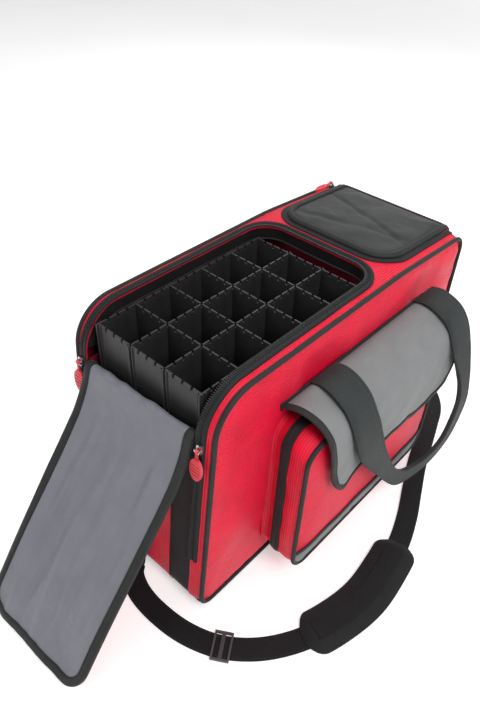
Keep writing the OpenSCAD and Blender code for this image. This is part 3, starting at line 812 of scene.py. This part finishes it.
def linings():
    lo, hi = node_box("main_lining")
    top = TOP_Z - 6
    floor = lo[2] + 0.5
    near = BODY.at(near_s(160))[0] + 8
    far = hi[0] - 1
    p = Piece("main_compartment_lining", "red_back")
    y = 96.0
    for side in (-1, 1):
        wall(p, (near, side * y, floor), (far - near, 0, 0), (0, 0, FOLD_Z - 10 - floor), 4 + side)
        wall(p, (near + 30, side * y, FOLD_Z - 10), (far - near - 30, 0, 0),
             (0, 0, top - FOLD_Z + 10), 6 + side)
    wall(p, (near - 3, -y + 1, floor), (0, 2 * y - 2, 0), (5, 0, FOLD_Z - 12 - floor), 1.0)
    wall(p, (far, -y + 1, floor), (0, 2 * y - 2, 0), (0, 0, top - floor), 2.0)
    p.build("root", ("main_lining",))
    lo, hi = node_box("far_lining")
    p = Piece("end_compartment_lining", "red_back")
    lo, hi = lo + 0.8, hi - 0.8
    w, d, t = hi[0] - lo[0], hi[1] - lo[1], hi[2] - lo[2]
    wall(p, lo, (w, 0, 0), (0, 0, t), 21.0)
    wall(p, (lo[0], hi[1], lo[2]), (w, 0, 0), (0, 0, t), 22.0)
    wall(p, lo, (0, d, 0), (0, 0, t), 23.0)
    wall(p, (hi[0], lo[1], lo[2]), (0, d, 0), (0, 0, t), 24.0)
    wall(p, (lo[0], lo[1], lo[2] + 1), (w, 0, 0), (0, d, 0), 25.0)
    p.build("root", ("far_lining",))


linings()


# ---- main flap
FLAP_W = 90.0
HINGES = [(-233.6, 300.0), (-252.4, 257.7), (-257.6, 247.6), (-263.3, 237.7)]
TIP = (-430.4, 8.0)
TIP_R = 34.0


def flap_line():
    pts = [(-225.5, 270), (-226.0, 284), (-227.6, 294.5), (-231.5, 301.6), (-236.6, 300.8),
           (-240.2, 291), (-243.2, 280), (-247.5, 268.5)] + HINGES[1:]
    a, b = np.array(HINGES[-1]), np.array(TIP)
    pts += [tuple(a + (b - a) * k) for k in (0.06, 0.2, 0.4, 0.6, 0.8, 1.0)]
    return smooth_path([(x, 0, z) for x, z in pts], 2.5)


LINE = flap_line()
LINE_T = measure(LINE)
FLAP_L = LINE_T[-1]


def flap_t(point):
    d = np.hypot(LINE[:, 0] - point[0], LINE[:, 2] - point[1])
    return float(LINE_T[np.argmin(d)])


def flap_at(t, y, h=0.0):
    """Point on the open flap: t along it, y across, h towards the satin side."""
    t, y, h = np.broadcast_arrays(np.asarray(t, float), np.asarray(y, float), h)
    x, z = np.interp(t, LINE_T, LINE[:, 0]), np.interp(t, LINE_T, LINE[:, 2])
    tan = unit(np.gradient(LINE, axis=0))
    dx, dz = np.interp(t, LINE_T, tan[:, 0]), np.interp(t, LINE_T, tan[:, 2])
    k = np.hypot(dx, dz)
    nx, nz = dz / k, -dx / k
    grow = clamp((t - 42) / 90)
    inside = clamp((FLAP_W - abs(y)) / 26) * clamp((FLAP_L - t) / 40)
    q = cols(t / 190, y / 30, 0)
    r = cols(t / 110, y / 13, 4)
    fold = wobble(q, 1.0, 6.6, 1.3) + wobble(r, 1.0, 2.6, 5.0)
    crest = wobble(cols(0, y / 16, t / 60), 1.0, 1.0, 8.0) * clamp(1 - abs(t - 35) / 40)
    z = z - 12 * (y + FLAP_W) / (2 * FLAP_W) * clamp(1 - t / 190) * clamp(t / 20)
    h = h + fold * grow * (0.25 + 0.75 * inside) + crest * inside
    return cols(x + nx * h, y, z + nz * h)


def inset(edge, d):
    """Edge rows (place and inward direction) moved inward by d."""
    return edge[:, 0] + edge[:, 2] * d, edge[:, 1] + edge[:, 3] * d


def tip_half(t):
    d = np.clip(TIP_R - (FLAP_L - t), 0, TIP_R)
    return FLAP_W - TIP_R + np.sqrt(np.maximum(TIP_R ** 2 - d ** 2, 0))


def flap_part(name, t0, t1, node, rows, tip=False):
    t = np.linspace(t0, t1, rows)
    if tip:
        t = np.concatenate([np.linspace(t0, t1 - TIP_R, rows)[:-1],
                            t1 - TIP_R * (1 - np.sin(np.linspace(0, 1, 16) * math.pi / 2))])
    half = tip_half(t) - 1.0
    u = np.linspace(-1, 1, 76)
    tt, yy = np.broadcast_arrays(t[:, None], half[:, None] * u[None])
    p = Piece(name, "satin", "red", "piping", "thread")
    uv = cols(yy, tt)
    p.slab(flap_at(tt, yy, 2.0), flap_at(tt, yy, -2.0), uv, (0, 1, 2))
    # bound edge with its stitching
    if tip:
        c = np.linspace(0, math.pi / 2, 12)[1:-1]
        straight = list(np.arange(t0, t1 - TIP_R, 5.0)) + [t1 - TIP_R]
        edge = [(v, -FLAP_W, 0, 1) for v in straight]
        edge += [(t1 - TIP_R + TIP_R * math.sin(k), -FLAP_W + TIP_R - TIP_R * math.cos(k),
                  -math.sin(k), math.cos(k)) for k in c]
        edge += [(t1, v, -1, 0) for v in np.linspace(-FLAP_W + TIP_R, FLAP_W - TIP_R, 24)]
        edge += [(v[0], -v[1], v[2], -v[3]) for v in reversed(edge[:len(straight) + len(c)])]
        edges = [np.array(edge)]
    else:
        v = np.linspace(t0, t1, max(3, int((t1 - t0) / 3)))
        edges = [cols(v, -side * FLAP_W, 0, side) for side in (1, -1)]
    for e in edges:
        profile = [(-0.2, -1.6), (-0.2, 1.6), (0.8, 3.2), (5, 3.8), (10.6, 3.3), (11.4, 1.2),
                   (11.4, -1.2), (10.6, -3.3), (5, -3.8), (0.8, -3.2)]
        p.sweep(lambda d, h: flap_at(*inset(e, d), h), measure(e[:, :2]) + t0, profile, 2)
        for side in (3.6, -3.6):
            dashes(p, flap_at(*inset(e, 8.8), side), 4.4, (2.8, 0.8, 0.7), 3, (0.3, 0.3, 0.9))
    o = p.build(None, (node,))
    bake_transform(o)
    return o


T_FOLD = flap_t((-243.2, 280))
T_C1 = flap_t((-255.0, 252.6))
T_C2 = flap_t((-260.5, 242.6))
flap_part("flap_fold_cloth", 0, T_FOLD,
          "flap_fold_panel", 40)
flap_part("flap_bend_cloth_1", T_FOLD, T_C1,
          "flap_corner_panel_1", 14)
flap_part("flap_bend_cloth_2", T_C1, T_C2,
          "flap_corner_panel_2", 8)
flap_part("flap_top_cloth", T_C2, FLAP_L,
          "flap_top_panel", 90, True)


# ---- end lid
LID = Outline([(112, -88), (112, 88), (272, 88), (272, -88)], [34, 34, 7, 7])


def lid_height(xy):
    d = edge_distance(xy, LID, 0)
    q = cols(xy[..., 0], xy[..., 1], 0)
    puff = 4.6 * (1 - np.exp(-d / 15.0))
    crease = -2.6 * np.exp(-((xy[..., 0] - 196 - 0.35 * xy[..., 1]) / 5.0) ** 2)
    crease = crease - 1.7 * np.exp(-((xy[..., 0] - 156 + 0.3 * xy[..., 1]) / 6.0) ** 2)
    soft = clamp(d / 18)
    return 3.4 + puff + soft * (crease + wobble(q, 34, 1.5, 3.0) + wobble(q, 14, 0.5, 3.0))


def end_lid():
    p = Piece("end_lid_cloth", "charcoal", "black", "piping", "thread")
    xy = outline_patch(LID, 0, 62, 62)
    top = wrap(xy[..., 0], xy[..., 1], lid_height(xy))
    low = wrap(xy[..., 0], xy[..., 1], 2.4)
    p.slab(top, low, xy, (0, 1, 0))
    s = np.linspace(0, LID.length, 260, endpoint=False)
    x, y, nx, ny = LID.at(s)
    rings = np.stack([wrap(x + nx * d, y + ny * d, h) for d, h in
                      ((-5, 2.6), (-5, 6.4), (-3, 7.4), (2, 7.2), (4.6, 5.6), (5.4, 3.6),
                       (4.6, 2.3))], 1)
    uv = np.stack([cols(k, s) for k in range(7)], 1)
    p.loft(rings, uv, 2, True)
    dashes(p, wrap(x - nx * 3.6, y - ny * 3.6, 7.3), 4.4, (2.8, 0.8, 0.7), 3, (0, 0, 1))
    o = p.build("far_lid", ("far_lid", "far_lid_binding"))
    p = Piece("end_zip_band", "tape", "coil")
    prof = ((6.2, 0.2), (6.2, 1.6), (7.2, 2.4), (9.0, 1.6), (12.0, 2.2), (13.4, 1.6), (13.6, 0.2),
            (9, -0.6))
    p.sweep(lambda d, h: wrap(x + nx * d, y + ny * d, h), s, prof, 0, True)
    at = np.arange(0, LID.length, TOOTH_PITCH)
    at = at[abs(LID.at(at)[0] - 272) > 6]
    x, y, nx, ny = LID.at(at)
    c = wrap(x + nx * 5.6, y + ny * 5.6, 1.8)
    out = wrap(x + nx * 7.6, y + ny * 7.6, 1.8) - c
    up = wrap(x + nx * 5.6, y + ny * 5.6, 3.2) - c
    p.blocks(c, np.cross(out, up), out, (1.3, 4.4, 2.0), 1)
    p.build("root", ("far_zip_tape",))
    p = Piece("end_lid_hinge_strip", "piping")
    ss, yy = np.meshgrid(np.linspace(268, 285, 10), np.linspace(-80, 80, 40), indexing="ij")
    wrap_sheet(p, ss, yy, 2.6, 1.8, (0, 0, 0))
    o = p.build(None)
    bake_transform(o)


end_lid()


# ---- front pocket
POCKET = Outline([(-145, 40), (-145, 278), (165, 278), (165, 40)], [28, 28, 28, 28])
POCKET_FRONT = -175.0
POCKET_ZIP_Y = -144.0


def sag(y, z):
    """How far the soft pocket sinks at its top front edge."""
    return (13 * clamp((-np.asarray(y, float) - 132) / 44) ** 1.2
            * clamp((np.asarray(z, float) - 205) / 73) ** 1.5)


def pocket_side():
    p = Piece("pocket_side_cloth", "red", "red_back")
    s = np.linspace(0, POCKET.length, 240, endpoint=False)
    y = np.linspace(-119.0, -174.5, 22)
    ss, yy = np.meshgrid(s, y, indexing="ij")
    x, z, nx, nz = POCKET.at(ss)
    k = (yy + 119) / (-55.5)
    bow = -3.2 * hill(k, 0.16, 0.12) + 2.2 * np.sin(np.pi * clamp((k - 0.5) * 2))
    h = bow + wobble(cols(x, yy, z), 38, 1.6, 4.0) * np.sin(np.pi * k)
    z = z - sag(yy, z)
    outer = cols(x + nx * h, yy, z + nz * h)
    inner = cols(x + nx * (h - 1.4), yy, z + nz * (h - 1.4))
    p.slab(outer, inner, cols(ss, yy), (0, 1, 0), True)
    p.build("root", ("pocket_gusset",))
    p = Piece("pocket_zip_band", "tape", "coil", "thread")
    x, z, nx, nz = POCKET.at(s)
    z = z - sag(POCKET_ZIP_Y, z)
    prof = ((-137.5, -1), (-137.5, 2.0), (-142.8, 2.6), (-143.3, 1.6), (-144.7, 1.6),
            (-145.2, 2.6), (-150.5, 2.0), (-150.5, -1))
    p.sweep(lambda y, h: cols(x + nx * h, y, z + nz * h), s, prof, 0, True)
    at = np.arange(0, POCKET.length, TOOTH_PITCH)
    x, z, nx, nz = POCKET.at(at)
    z = z - sag(POCKET_ZIP_Y, z)
    c = cols(x + nx * 2.4, POCKET_ZIP_Y, z + nz * 2.4)
    p.blocks(c, cols(-nz, 0, nx), np.broadcast_to([0, 1.0, 0], c.shape),
             (1.3, 4.2, 1.8), 1)
    for y in (-138.9, -149.1):
        x, z, nx, nz = POCKET.at(s)
        z = z - sag(POCKET_ZIP_Y, z)
        dashes(p, cols(x + nx * 2.3, y, z + nz * 2.3), 4.2, (2.8, 0.7, 0.6), 2,
               (0, 1, 0))
    p.build("root", ("pocket_zip_tape",))
    p = Piece("pocket_piping_cord", "piping")
    x, z, nx, nz = POCKET.at(s)
    z = z - sag(-176, z)
    p.tube(cols(x + nx * 0.6, -175.4, z + nz * 0.6), 3.1, 0, True, 10, (0, 1, 0))
    p.build("root", ("pocket_piping",))


def pocket_face(xz):
    """Y of the pocket's puffed front at points in X and Z."""
    d = edge_distance(xz, POCKET, -2.4)
    q = cols(xz[..., 0], 0, xz[..., 1])
    soft = clamp(d / 26)
    return (POCKET_FRONT - 5.0 * (1 - np.exp(-d / 20.0)) - soft * wobble(q, 70, 1.5, 6.0)
            - np.exp(-d / 10.0) * wobble(q, 15, 0.6, 6.0))


def pocket_panels():
    xz = outline_patch(POCKET, -2.2, 92, 72)
    y = pocket_face(xz)
    p = Piece("pocket_front_cloth", "red", "red_back")
    z = xz[..., 1] - sag(-176, xz[..., 1])
    p.slab(cols(xz[..., 0], y, z),
           cols(xz[..., 0], POCKET_FRONT + 1.2, z), xz, (0, 1, 0))
    o = p.build("root", ("pocket_front",))
    z = np.linspace(42.6, 72, 16)
    half = np.where(z < 68, 152.6 - 28 + np.sqrt(np.maximum(28 ** 2 - (68 - z) ** 2, 0)), 152.6)
    zz, xx = np.broadcast_arrays(z[:, None], 10 + half[:, None] * np.linspace(-1, 1, 90)[None])
    g = cols(xx, zz)
    y = pocket_face(g)
    p = Piece("pocket_trim_cloth", "grey", "piping")
    p.slab(cols(xx, y - 1.3, zz), cols(xx, y + 0.4, zz), g)
    row = cols(xx[-1], y[-1] - 1.2, zz[-1] + 1.0)
    p.ribbon(row, [0, 0.05, 1.0], 5.5, 1.8, 1)
    p.build("root", ("pocket_trim_band",))


pocket_side()
pocket_panels()


# ---- pocket flap
PF = smooth_path([(0, -120.5, 291), (0, -128, 294), (0, -140, 292.5), (0, -152, 288.5),
                  (0, -163, 283), (0, -173, 276), (0, -181, 266), (0, -186, 250),
                  (0, -188.5, 228), (0, -188, 195), (0, -187, 162)], 2.5)
PF_T = measure(PF)
PF_L = PF_T[-1]
PF_LO, PF_HI = -131.0, 175.0
PF_SLANT = 36.0                   # the loose end leans in towards the bottom


def pocket_flap_at(t, x, h=0.0):
    t, x, h = np.broadcast_arrays(np.asarray(t, float), np.asarray(x, float), h)
    x = x + PF_SLANT * (t / PF_L) ** 1.6 * (PF_HI - x) / (PF_HI - PF_LO)
    t = t * (1 - 0.13 * hill(x, 28, 46) - 0.05 * hill(x, 160, 40))
    y, z = np.interp(t, PF_T, PF[:, 1]), np.interp(t, PF_T, PF[:, 2])
    tan = unit(np.gradient(PF, axis=0))
    dy, dz = np.interp(t, PF_T, tan[:, 1]), np.interp(t, PF_T, tan[:, 2])
    k = np.hypot(dy, dz)
    ny, nz = dz / k, -dy / k
    over = np.sin(np.pi * clamp((t - 4) / 104)) ** 1.2
    curl = 16 * np.exp(-((x - PF_LO) / 34.0) ** 2) + 5 * np.exp(-((x - PF_HI) / 40.0) ** 2)
    low = clamp((t - 70) / 60)
    valley = (-2.0 * hill(x, -34, 20) + 4.0 * hill(x, -84, 22)
              + 4.0 * hill(x, 40, 34) - 1.0 * hill(x, 110, 24)
              + 3.0 * hill(x, 165, 22))
    q = cols(x, t, 0)
    seam = clamp(t / 12)
    h = h + seam * (low * valley * 0.8 + wobble(q, 48, 1.6, 2.0) + wobble(q, 19, 0.6, 2.0))
    h = h + over * (curl * 0.25)
    return cols(x, y + ny * h, z + nz * h + over * curl * 0.75 * clamp((PF_L - t) / PF_L))


def pocket_flap():
    r1, r2 = 34.0, 30.0
    t = np.concatenate([np.linspace(0, PF_L - r1, 52)[:-1],
                        PF_L - r1 * (1 - np.sin(np.linspace(0, 1, 26) * math.pi / 2))])
    def ends(v):
        d1, d2 = (np.clip(r - (PF_L - v), 0, r) for r in (r1, r2))
        return (PF_LO + r1 - np.sqrt(np.maximum(r1 ** 2 - d1 ** 2, 0)),
                PF_HI - r2 + np.sqrt(np.maximum(r2 ** 2 - d2 ** 2, 0)))
    lo, hi = ends(t)
    u = np.linspace(0, 1, 100)[None]
    tt, xx = np.broadcast_arrays(t[:, None], lo[:, None] + (hi - lo)[:, None] * u)
    p = Piece("pocket_flap_cloth", "grey", "charcoal")
    g = pocket_flap_at(tt, xx, 0.7)
    p.slab(g, pocket_flap_at(tt, xx, -0.7), cols(xx, tt), (0, 1, 0))
    o = p.build(None, ("pocket_flap",))
    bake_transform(o)
    e1, e2 = np.diff(g, axis=0)[:, :-1], np.diff(g, axis=1)[:-1]
    area = float(np.sum(np.linalg.norm(np.cross(e1, e2), axis=-1)))
    area = min(area, (PF_HI - PF_LO) * PF_L)
    # the bound edge
    rows = [(v, PF_LO, 0, 1) for v in np.arange(0, PF_L - r1, 5.0)]
    rows += [(PF_L - r1 + r1 * math.sin(k), PF_LO + r1 - r1 * math.cos(k),
              -math.sin(k), math.cos(k)) for k in np.linspace(0, math.pi / 2, 20)]
    rows += [(PF_L, v, -1, 0) for v in np.arange(PF_LO + r1 + 5, PF_HI - r2, 5.0)]
    rows += [(PF_L - r2 + r2 * math.cos(k), PF_HI - r2 + r2 * math.sin(k),
              -math.cos(k), -math.sin(k)) for k in np.linspace(0, math.pi / 2, 16)]
    rows += [(v, PF_HI, 0, -1) for v in np.arange(PF_L - r2 - 5, 0, -5.0)]
    e = np.array(rows)
    b = Piece("pocket_flap_bound_edge", "piping", "thread")
    prof = [(-1.4, -1.0), (-1.4, 1.0), (0, 2.0), (4, 2.2), (7.6, 1.9), (8, 0.9), (8, -0.9),
            (7.6, -1.9), (4, -2.2), (0, -2.0)]
    b.sweep(lambda d, h: pocket_flap_at(*inset(e, d), h), measure(e[:, :2]), prof)
    dashes(b, pocket_flap_at(*inset(e, 6), 2.3), 4.3, (2.8, 0.7, 0.6), 1, (1, 0.2, 0.3))
    bound = b.build(None, ("pocket_flap_binding",))
    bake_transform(bound)
    # flat strip over the seam
    s = Piece("pocket_flap_seam_strip", "piping", "thread")
    row = cols(np.linspace(-132, 176, 80), -121.3, 291.5)
    s.ribbon(row, [0, 0.12, 1.0], 9, 2.2, 0)
    dashes(s, row + [0, -1.3, 2.0], 4.3, (2.8, 0.7, 0.6), 1, (0, 0, 1))
    s.build("root")


pocket_flap()


# ---- handles
def edge_stitches(piece, path, side, width, thick):
    """Stitches along both edges of webbing, on both of its faces."""
    nrm = np.cross(unit(np.gradient(path, axis=0)), side)
    for k in (-0.42, 0.42):
        for face in (-1, 1):
            dashes(piece, path + side * (width * k)[:, None] + nrm * (face * thick[:, None] / 2),
                   5, (3.2, 0.8, 0.6), 1, (0.5, 0.2, 0.5))


def fold_thickness(width):
    """Webbing gets thicker where it is folded narrower."""
    return 2.6 + 3.6 * clamp((48 - width) / 18)


def front_handle():
    """Two legs from the seam over the flap, and a drooping folded grip."""
    ctrl = [(-55, -122, 296, 50), (-55, -136, 299.5, 50), (-55, -150, 297.5, 50),
            (-55, -163, 291, 50), (-55, -175, 281.5, 50), (-55, -185, 267, 50),
            (-53, -193, 248, 50), (-48, -198, 226, 47), (-38, -200, 204, 42),
            (-24, -201, 180, 35), (-8, -202, 156, 29), (10, -202, 130, 25), (27, -203, 107, 24),
            (48, -204, 84, 24), (70, -205, 69, 24), (98, -208, 62, 24), (122, -212, 64, 25),
            (143, -216, 76, 27), (158, -219, 98, 30), (167, -220, 130, 31),
            (172, -219, 162, 28), (174, -213, 192, 27), (174, -205, 218, 36),
            (173, -197, 242, 46), (173, -189, 262, 50), (173, -180, 278, 50),
            (173, -168, 290, 50), (173, -152, 297, 50), (173, -136, 299.5, 50),
            (173, -122, 296, 50)]
    path = smooth_path(ctrl, 3.0)
    p3, width = path[:, :3], path[:, 3]
    tan = unit(np.gradient(p3, axis=0))
    side = cols(tan[:, 2], 0, -tan[:, 0])
    top = clamp((p3[:, 2] - 236) / 22)[:, None]
    sign = np.where(p3[:, 0] < 60, -1.0, 1.0)
    side = unit(side * (1 - top) + cols(sign, 0, 0) * top)
    thick = fold_thickness(width)
    cut = [int(np.argmin(abs(p3[:, 2] - 291) + (p3[:, 0] * f > 60 * f) * 900)) for f in (1, -1)]
    legs = Piece("front_handle_leg_webbing", "webbing", "thread")
    loop = Piece("front_handle_loop_webbing", "webbing", "thread")
    a, b = cut
    for piece, i, j in ((legs, 0, a + 1), (loop, a, b + 1), (legs, b, len(p3))):
        q, s, w, t = p3[i:j], side[i:j], width[i:j], thick[i:j]
        piece.ribbon(q, s, w, t, 0, start=i * 3.0)
        edge_stitches(piece, q, s, w, t)
    # seam of the folded grip
    grip = [i for i in range(len(p3)) if width[i] < 36 and a < i < b]
    i, j = min(grip), max(grip)
    nrm = np.cross(tan[i:j], side[i:j])
    loop.ribbon(p3[i:j] + nrm * 2.9, side[i:j], width[i:j] * 0.5, 1.6, 0)
    ol = legs.build(None, ("front_handle_legs",))
    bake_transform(ol)
    oo = loop.build(None, ("front_handle_loop",))
    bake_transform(oo)


front_handle()


def back_handle():
    ctrl = [(-55, 122.5, 288, 50), (-55, 128, 272, 50), (-54, 140, 225, 49), (-48, 152, 175, 44),
            (-30, 163, 125, 36), (0, 172, 84, 29), (30, 178, 62, 27), (59, 180, 56, 27),
            (88, 178, 62, 27), (118, 172, 84, 29), (148, 163, 125, 36), (166, 152, 175, 44),
            (172, 140, 225, 49), (173, 128, 272, 50), (173, 122.5, 288, 50)]
    path = smooth_path(ctrl, 3.5)
    p3, width = path[:, :3], path[:, 3]
    tan = unit(np.gradient(p3, axis=0))
    side = cols(-tan[:, 2], 0, tan[:, 0])
    thick = fold_thickness(width)
    p = Piece("back_handle_webbing", "webbing", "thread")
    p.ribbon(p3, side, width, thick, 0)
    edge_stitches(p, p3, unit(side), width, thick)
    o = p.build(None, ("back_handle",))
    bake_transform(o)
    p = Piece("back_webbing_runs", "webbing", "thread")
    for x in HANDLE_X:
        z = np.linspace(289, 14, 90)
        depth = HALF_W + 8.6 - np.maximum(26 - z, 0) * 0.35
        q = cols(x, depth, z)
        p.ribbon(q, [1.0, 0, 0], 50, 2.2, 0)
        for k in (-21, 21):
            dashes(p, q + [k, 1.2, 0], 5, (3.2, 0.8, 0.6), 1, (1, 0, 0))
        # a sewn box with a cross in it
        across = np.linspace(-21, 21, 20)
        for height in (284, 262, 240, 262 + across, 262 - across):
            dashes(p, cols(x + across, HALF_W + 9.8, height), 4, (2.8, 0.9, 0.6), 1, (0, 0, 1))
    p.build("root", ("back_handle_patches",))


back_handle()


# ---- shoulder strap
ROUTE = [(301, 0), (325, -6), (340, -24), (347, -50), (346, -80), (336, -107), (317, -129),
         (292, -145), (262, -156), (228, -168), (166, -189), (114, -211), (65, -232), (15, -248),
         (-40, -257), (-90, -260), (-140, -252), (-190, -235), (-235, -206), (-268, -168),
         (-286, -124), (-292, -80), (-290, -42), (-280, -14), (-266, -1)]


def strap():
    pts = [(x, y, 1.6) for x, y in ROUTE] + [(-259, 0, 12), (-257, 0, 34), (-255.6, 0, 58),
                                            (-255, 0, 70)]
    path = smooth_path(pts, 4.0)
    tan = unit(np.gradient(path, axis=0))
    side = cols(-tan[:, 1], tan[:, 0], 0)
    rise = clamp((path[:, 2] - 1.7) / 8)[:, None]
    side = unit(side * (1 - rise) + np.array([0, 1.0, 0]) * rise)
    lift = wobble(path, 60, 0.7, 3.0)
    path[:, 2] += np.where(path[:, 2] < 2, abs(lift) * 0.6, 0)
    p = Piece("shoulder_strap_webbing", "strap", "thread")
    p.ribbon(path, side, 30, 2.1, 0)
    for k in (-12.6, 12.6):
        up = np.cross(tan, side)
        up = up * np.sign(up[:, 2:3] + 1e-6)
        dashes(p, path + side * k + up * 1.1, 5, (3.2, 0.7, 0.5), 1, (0.3, 0.9, 0.1))
    # where it doubles back through the hook
    z = np.linspace(70, 30, 12)
    p.ribbon(cols(-258.4, 0, z), [0, 1.0, 0], 30, 2.1, 0)
    p.build("root", ("shoulder_strap",))
    # the end that hangs from the ring on the lidded end
    z = np.linspace(244, 3, 50)
    k = (244 - z) / 241
    x = 292.7 + 6 * k + 6.0 * clamp((k - 0.85) / 0.15) ** 2
    q = cols(x, 0, z)
    p = Piece("strap_riser_webbing", "strap", "thread")
    p.ribbon(q, [0, 1.0, 0], 30, 2.1, 0)
    for side_y in (-12.6, 12.6):
        dashes(p, q + [1.2, side_y, 0], 5, (3.2, 0.7, 0.5), 1, (0, 1, 0))
    o = p.build(None, ("strap_far_end",))
    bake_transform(o)
    # pad
    i0 = int(np.argmin(np.hypot(path[:, 0] - 15, path[:, 1] + 248)))
    i1 = int(np.argmin(np.hypot(path[:, 0] + 190, path[:, 1] + 235)))
    c, s = path[i0:i1 + 1], side[i0:i1 + 1]
    n = len(c)
    k = np.linspace(-1, 1, n)
    half = 30 * np.minimum(1, np.sqrt(np.maximum(1 - (clamp(abs(k) - 0.8) / 0.2) ** 2, 0.12)))
    u = np.linspace(-1, 1, 25)
    g = c[:, None] + s[:, None] * (half[:, None] * u[None])[..., None]
    lump = (1 - abs(u[None]) ** 3) * np.minimum(1, (1 - abs(k)[:, None]) * 9)
    quilt = 0.8 * abs(np.sin(np.pi * np.arange(n) / 9.0))[:, None]
    top, low = g.copy(), g.copy()
    top[..., 2] = 3.0 + lump * (6.2 + quilt) + 1.2
    low[..., 2] = 2.9 - lump * 0.4
    p = Piece("shoulder_pad_cushion", "pad", "strap")
    uv = cols(half[:, None] * u[None], np.arange(n)[:, None] * 4.0)
    p.slab(top, low, uv, (0, 0, 1))
    band = c + [0, 0, 9.4]
    p.ribbon(band[4:-4], s[4:-4], 26, 1.8, 1)
    o = p.build("root", ("shoulder_pad",))


strap()


def ring_tabs():
    for name, x, z, node, sign in (("lidded_end_ring_tab", 291.6, 304, "far_ring_tab", 1),
                                   ("flap_end_ring_tab", -254.0, 130, "near_ring_tab", -1)):
        high = node_box(node)[1][2]
        p = Piece(name, "webbing", "thread")
        s = BODY.where(high - 8, 1, *((BODY.mid[2], BODY.mid[3]) if sign > 0
                                       else (BODY.mid[0], BODY.mid[1])))
        wall_x = BODY.at(s)[0] + sign * (CROWN + 1.6)
        out = [(wall_x, high - 1), (wall_x + sign * 1.0, high - 12), (x - sign * 0.4, z + 4),
               (x + sign * 3.4, z - 5), (x + sign * 0.5, z - 7.6), (x - sign * 3.2, z - 3),
               (x - sign * 2.6, z + 6), (wall_x - sign * 0.6, high - 10)]
        path = smooth_path([(a, 0, b) for a, b in out], 1.5)
        p.ribbon(path, [0, 1.0, 0], 24, 1.8, 0)
        for zz in (-2.5, -7.5):
            row = cols(wall_x + sign * 1.6, np.linspace(-10, 10, 12),
                       high + zz)
            dashes(p, row, 3.6, (2.4, 0.8, 0.6), 1, (0, 0, 1))
        p.build("root", (node,))


ring_tabs()


# ---- kept CAD parts
def keep(prefixes, mat, bevel=0.0):
    for name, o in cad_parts.items():
        if any(name.startswith(k) for k in prefixes):
            o.data.materials.clear()
            o.data.materials.append(MAT[mat])
            if bevel:
                mod = o.modifiers.new("edges", "BEVEL")
                mod.width = bevel * MM
                mod.segments = 2
                mod.limit_method = "ANGLE"
                mod.angle_limit = math.radians(40)


keep(("long_divider", "cross_divider"), "divider", 0.5)
keep(("base_board", "partition", "strap_adjuster"), "board")
keep(("base_panel", "base_feet"), "base")
keep(("main_slider", "pocket_slider", "near_ring", "far_ring", "near_hook",
      "far_hook"), "metal")
keep(("main_puller", "pocket_puller"), "rubber")


def lowered(node, body, mat):
    """The lid's slider and puller, brought down to the soft, sagging band."""
    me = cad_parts[node].data.copy()
    x, y = float(np.mean([v.co.x for v in me.vertices])) / MM, 98.5
    drop = TOP_Z - wrap(x, y, 0)[2]
    me.transform(Matrix.Translation((0, 0, -0.55 * drop * MM)))
    me.materials.clear()
    me.materials.append(MAT[mat])
    o = bpy.data.objects.new(node + "_piece", me)
    bpy.context.scene.collection.objects.link(o)
    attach(o, body)
    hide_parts(node)


lowered("lid_slider", "lid_slider", "metal")
lowered("lid_puller", "lid_puller", "rubber")


# ---- floor and light
def floor_and_light():
    m = Nodes("studio_floor")
    p = m.place(False)
    m.finish(m.ramp(m.noise(p, 0.4, 2.0), [(0.3, (0.80, 0.80, 0.80)), (0.7, (0.84, 0.84, 0.84))]),
             0.75, None)
    m.bsdf.inputs["Emission Color"].default_value = (1, 1, 1, 1)
    m.bsdf.inputs["Emission Strength"].default_value = 0.42
    me = bpy.data.meshes.new("floor")
    r, h, out = 3.0, 2.4, []
    prof = [(-6, 0), (r - 1, 0)] + [(r - 1 + math.sin(a) * 1.0, 1.0 - math.cos(a))
                                   for a in np.linspace(0, math.pi / 2, 12)] + [(r, h)]
    c, s = math.cos(math.radians(-40)), math.sin(math.radians(-40))
    for x, z in prof:
        for y in (-7, 7):
            out.append((x * c - y * s, x * s + y * c, z - 0.0002))
    me.from_pydata(out, [], [(2 * i, 2 * i + 1, 2 * i + 3, 2 * i + 2)
                             for i in range(len(prof) - 1)])
    me.polygons.foreach_set("use_smooth", [True] * len(me.polygons))
    me.materials.append(m.mat)
    floor = bpy.data.objects.new("floor", me)
    bpy.context.scene.collection.objects.link(floor)
    for name, place, power, size in (("key", (-0.5, -1.5, 1.9), 30, 0.9),
                                     ("fill", (-1.8, 0.6, 1.5), 10, 1.2),
                                     ("top", (0.2, 0.1, 2.4), 20, 1.4),
                                     ("rim", (1.6, 0.9, 1.4), 9, 1.2)):
        data = bpy.data.lights.new(name, "AREA")
        data.energy, data.size = power, size
        o = bpy.data.objects.new(name, data)
        o.location = place
        o.rotation_euler = (Vector((0, 0, 0.2)) - Vector(place)).to_track_quat("-Z", "Y").to_euler()
        bpy.context.scene.collection.objects.link(o)
    world = bpy.data.worlds.new("studio")
    world.use_nodes = True
    back = world.node_tree.nodes["Background"]
    back.inputs[0].default_value = (1, 1, 1, 1)
    back.inputs[1].default_value = 0.34
    bpy.context.scene.world = world
    bpy.context.scene.view_settings.view_transform = "Standard"


floor_and_light()
